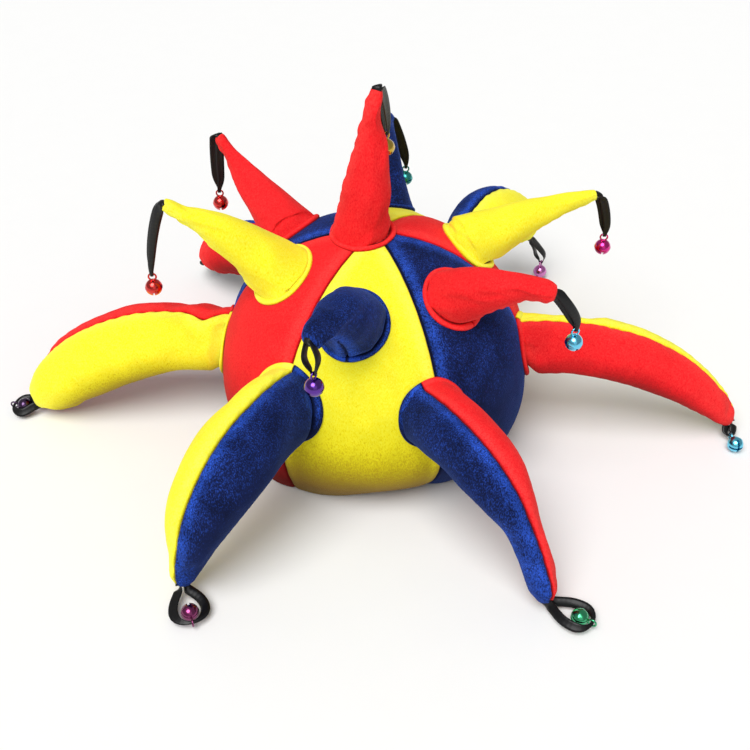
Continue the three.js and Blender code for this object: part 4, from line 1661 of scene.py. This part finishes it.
class HAT_OT_add_bells(bpy.types.Operator):
    """Hangs a jingle bell in every ribbon loop"""

    bl_idname = "hat.add_bells"
    bl_label = "Add bells"

    def execute(self, context):
        pattern = bell_mesh()
        for on, (colour, _) in BELLS.items():
            _, _, _, place, back, _ = hanging(on)
            side = bell_side(on)
            through = np.cross(back, side)
            hung = Matrix(np.stack([side, through, back], axis=1).tolist()).to_4x4()
            mesh = pattern.copy()
            mesh.name = f"jingle_bell_{on}"
            mesh.transform(Matrix.Translation(Vector(place)) @ hung)
            mesh.materials.clear()
            mesh.materials.append(bell_material(colour))
            mesh.shade_smooth()
            mesh.set_sharp_from_angle(angle=math.radians(SHARP_EDGE))
            add_mesh(mesh, f"bell_{colour}", f"bell_{on}")
        bpy.data.meshes.remove(pattern)
        return {"FINISHED"}


# The studio: half the floor's width, where its two lights stand, and the width of the light in front
FLOOR_HALF = 5.0
KEY_PLACE = Vector((-0.4, -1.1, 2.1))
FILL_PLACE = Vector((0.5, -1.5, 0.9))
FILL_WIDTH = 1.2


class HAT_OT_set_stage(bpy.types.Operator):
    """Sets the camera, the floor and the light"""

    bl_idname = "hat.set_stage"
    bl_label = "Set stage"

    def execute(self, context):
        stage = settings("stage")
        scene = context.scene
        lens = bpy.data.cameras.new("photo_camera")
        lens.lens = stage.lens
        camera = bpy.data.objects.new("photo_camera", lens)
        away = polar(math.degrees(stage.azimuth), math.cos(stage.elevation), math.sin(stage.elevation))
        camera.location = Vector((0, 0, stage.aim)) + Vector(away) * stage.distance
        camera.rotation_euler = Euler((math.pi / 2 - stage.elevation - stage.tilt, 0, stage.azimuth))
        scene.collection.objects.link(camera)
        scene.camera = camera
        mesh = bpy.data.meshes.new("studio_floor")
        corners = [(x * FLOOR_HALF, y * FLOOR_HALF, 0) for x, y in ((-1, -1), (1, -1), (1, 1), (-1, 1))]
        mesh.from_pydata(corners, [], [(0, 1, 2, 3)])
        mesh.materials.append(floor_material())
        floor = bpy.data.objects.new("studio_floor", mesh)
        scene.collection.objects.link(floor)
        key = bpy.data.lights.new("key_light", "SUN")
        key.energy, key.angle = stage.key, stage.softness
        fill = bpy.data.lights.new("fill_light", "AREA")
        fill.energy, fill.size = stage.fill, FILL_WIDTH
        for light, place in ((key, KEY_PLACE), (fill, FILL_PLACE)):
            lamp = bpy.data.objects.new(light.name, light)
            lamp.location = place
            lamp.rotation_euler = (-place).to_track_quat("-Z", "Y").to_euler()
            scene.collection.objects.link(lamp)
        world = bpy.data.worlds.new("studio_surround")
        world.use_nodes = True
        background = world.node_tree.nodes["Background"]
        background.inputs["Color"].default_value = linear("#fbfbfb") + (1,)
        background.inputs["Strength"].default_value = stage.sky
        scene.world = world
        scene.view_settings.view_transform = "Standard"
        return {"FINISHED"}


class HAT_PT_panel(bpy.types.Panel):
    """The hat's operators and settings"""

    bl_label = "Jester hat"
    bl_idname = "HAT_PT_panel"
    bl_space_type = "VIEW_3D"
    bl_region_type = "UI"
    bl_category = "Jester hat"

    def draw(self, context):
        for operator in OPERATORS:
            self.layout.operator(operator.bl_idname)
        for group, kind in GROUPS.items():
            box = self.layout.box()
            box.label(text=kind.__doc__)
            for name in kind.__annotations__:
                box.prop(settings(group), name)


GROUPS = {
    "crown": CrownSettings,
    "sewing": SewingSettings,
    "fleece": FleeceSettings,
    "trim": TrimSettings,
    "stage": StageSettings,
}
OPERATORS = (
    HAT_OT_set_stage,
    HAT_OT_add_gores,
    HAT_OT_fill_pieces,
    HAT_OT_add_horns,
    HAT_OT_add_arms,
    HAT_OT_add_stitches,
    HAT_OT_add_ribbons,
    HAT_OT_add_bells,
)
CLASSES = (*GROUPS.values(), *OPERATORS, HAT_PT_panel)


def register():
    """Registers the classes and puts the settings in the scene."""
    for kind in CLASSES:
        bpy.utils.register_class(kind)
    for group, kind in GROUPS.items():
        setattr(bpy.types.Scene, f"hat_{group}", PointerProperty(type=kind))


def unregister():
    """Takes the settings and the classes away again."""
    for group in GROUPS:
        delattr(bpy.types.Scene, f"hat_{group}")
    for kind in reversed(CLASSES):
        bpy.utils.unregister_class(kind)


def main():
    """Dresses the hat."""
    register()
    bpy.ops.hat.set_stage()
    bpy.ops.hat.add_gores()
    bpy.ops.hat.fill_pieces()
    bpy.ops.hat.add_horns()
    bpy.ops.hat.add_arms()
    bpy.ops.hat.add_stitches()
    bpy.ops.hat.add_ribbons()
    bpy.ops.hat.add_bells()


if __name__ == "__main__":
    main()
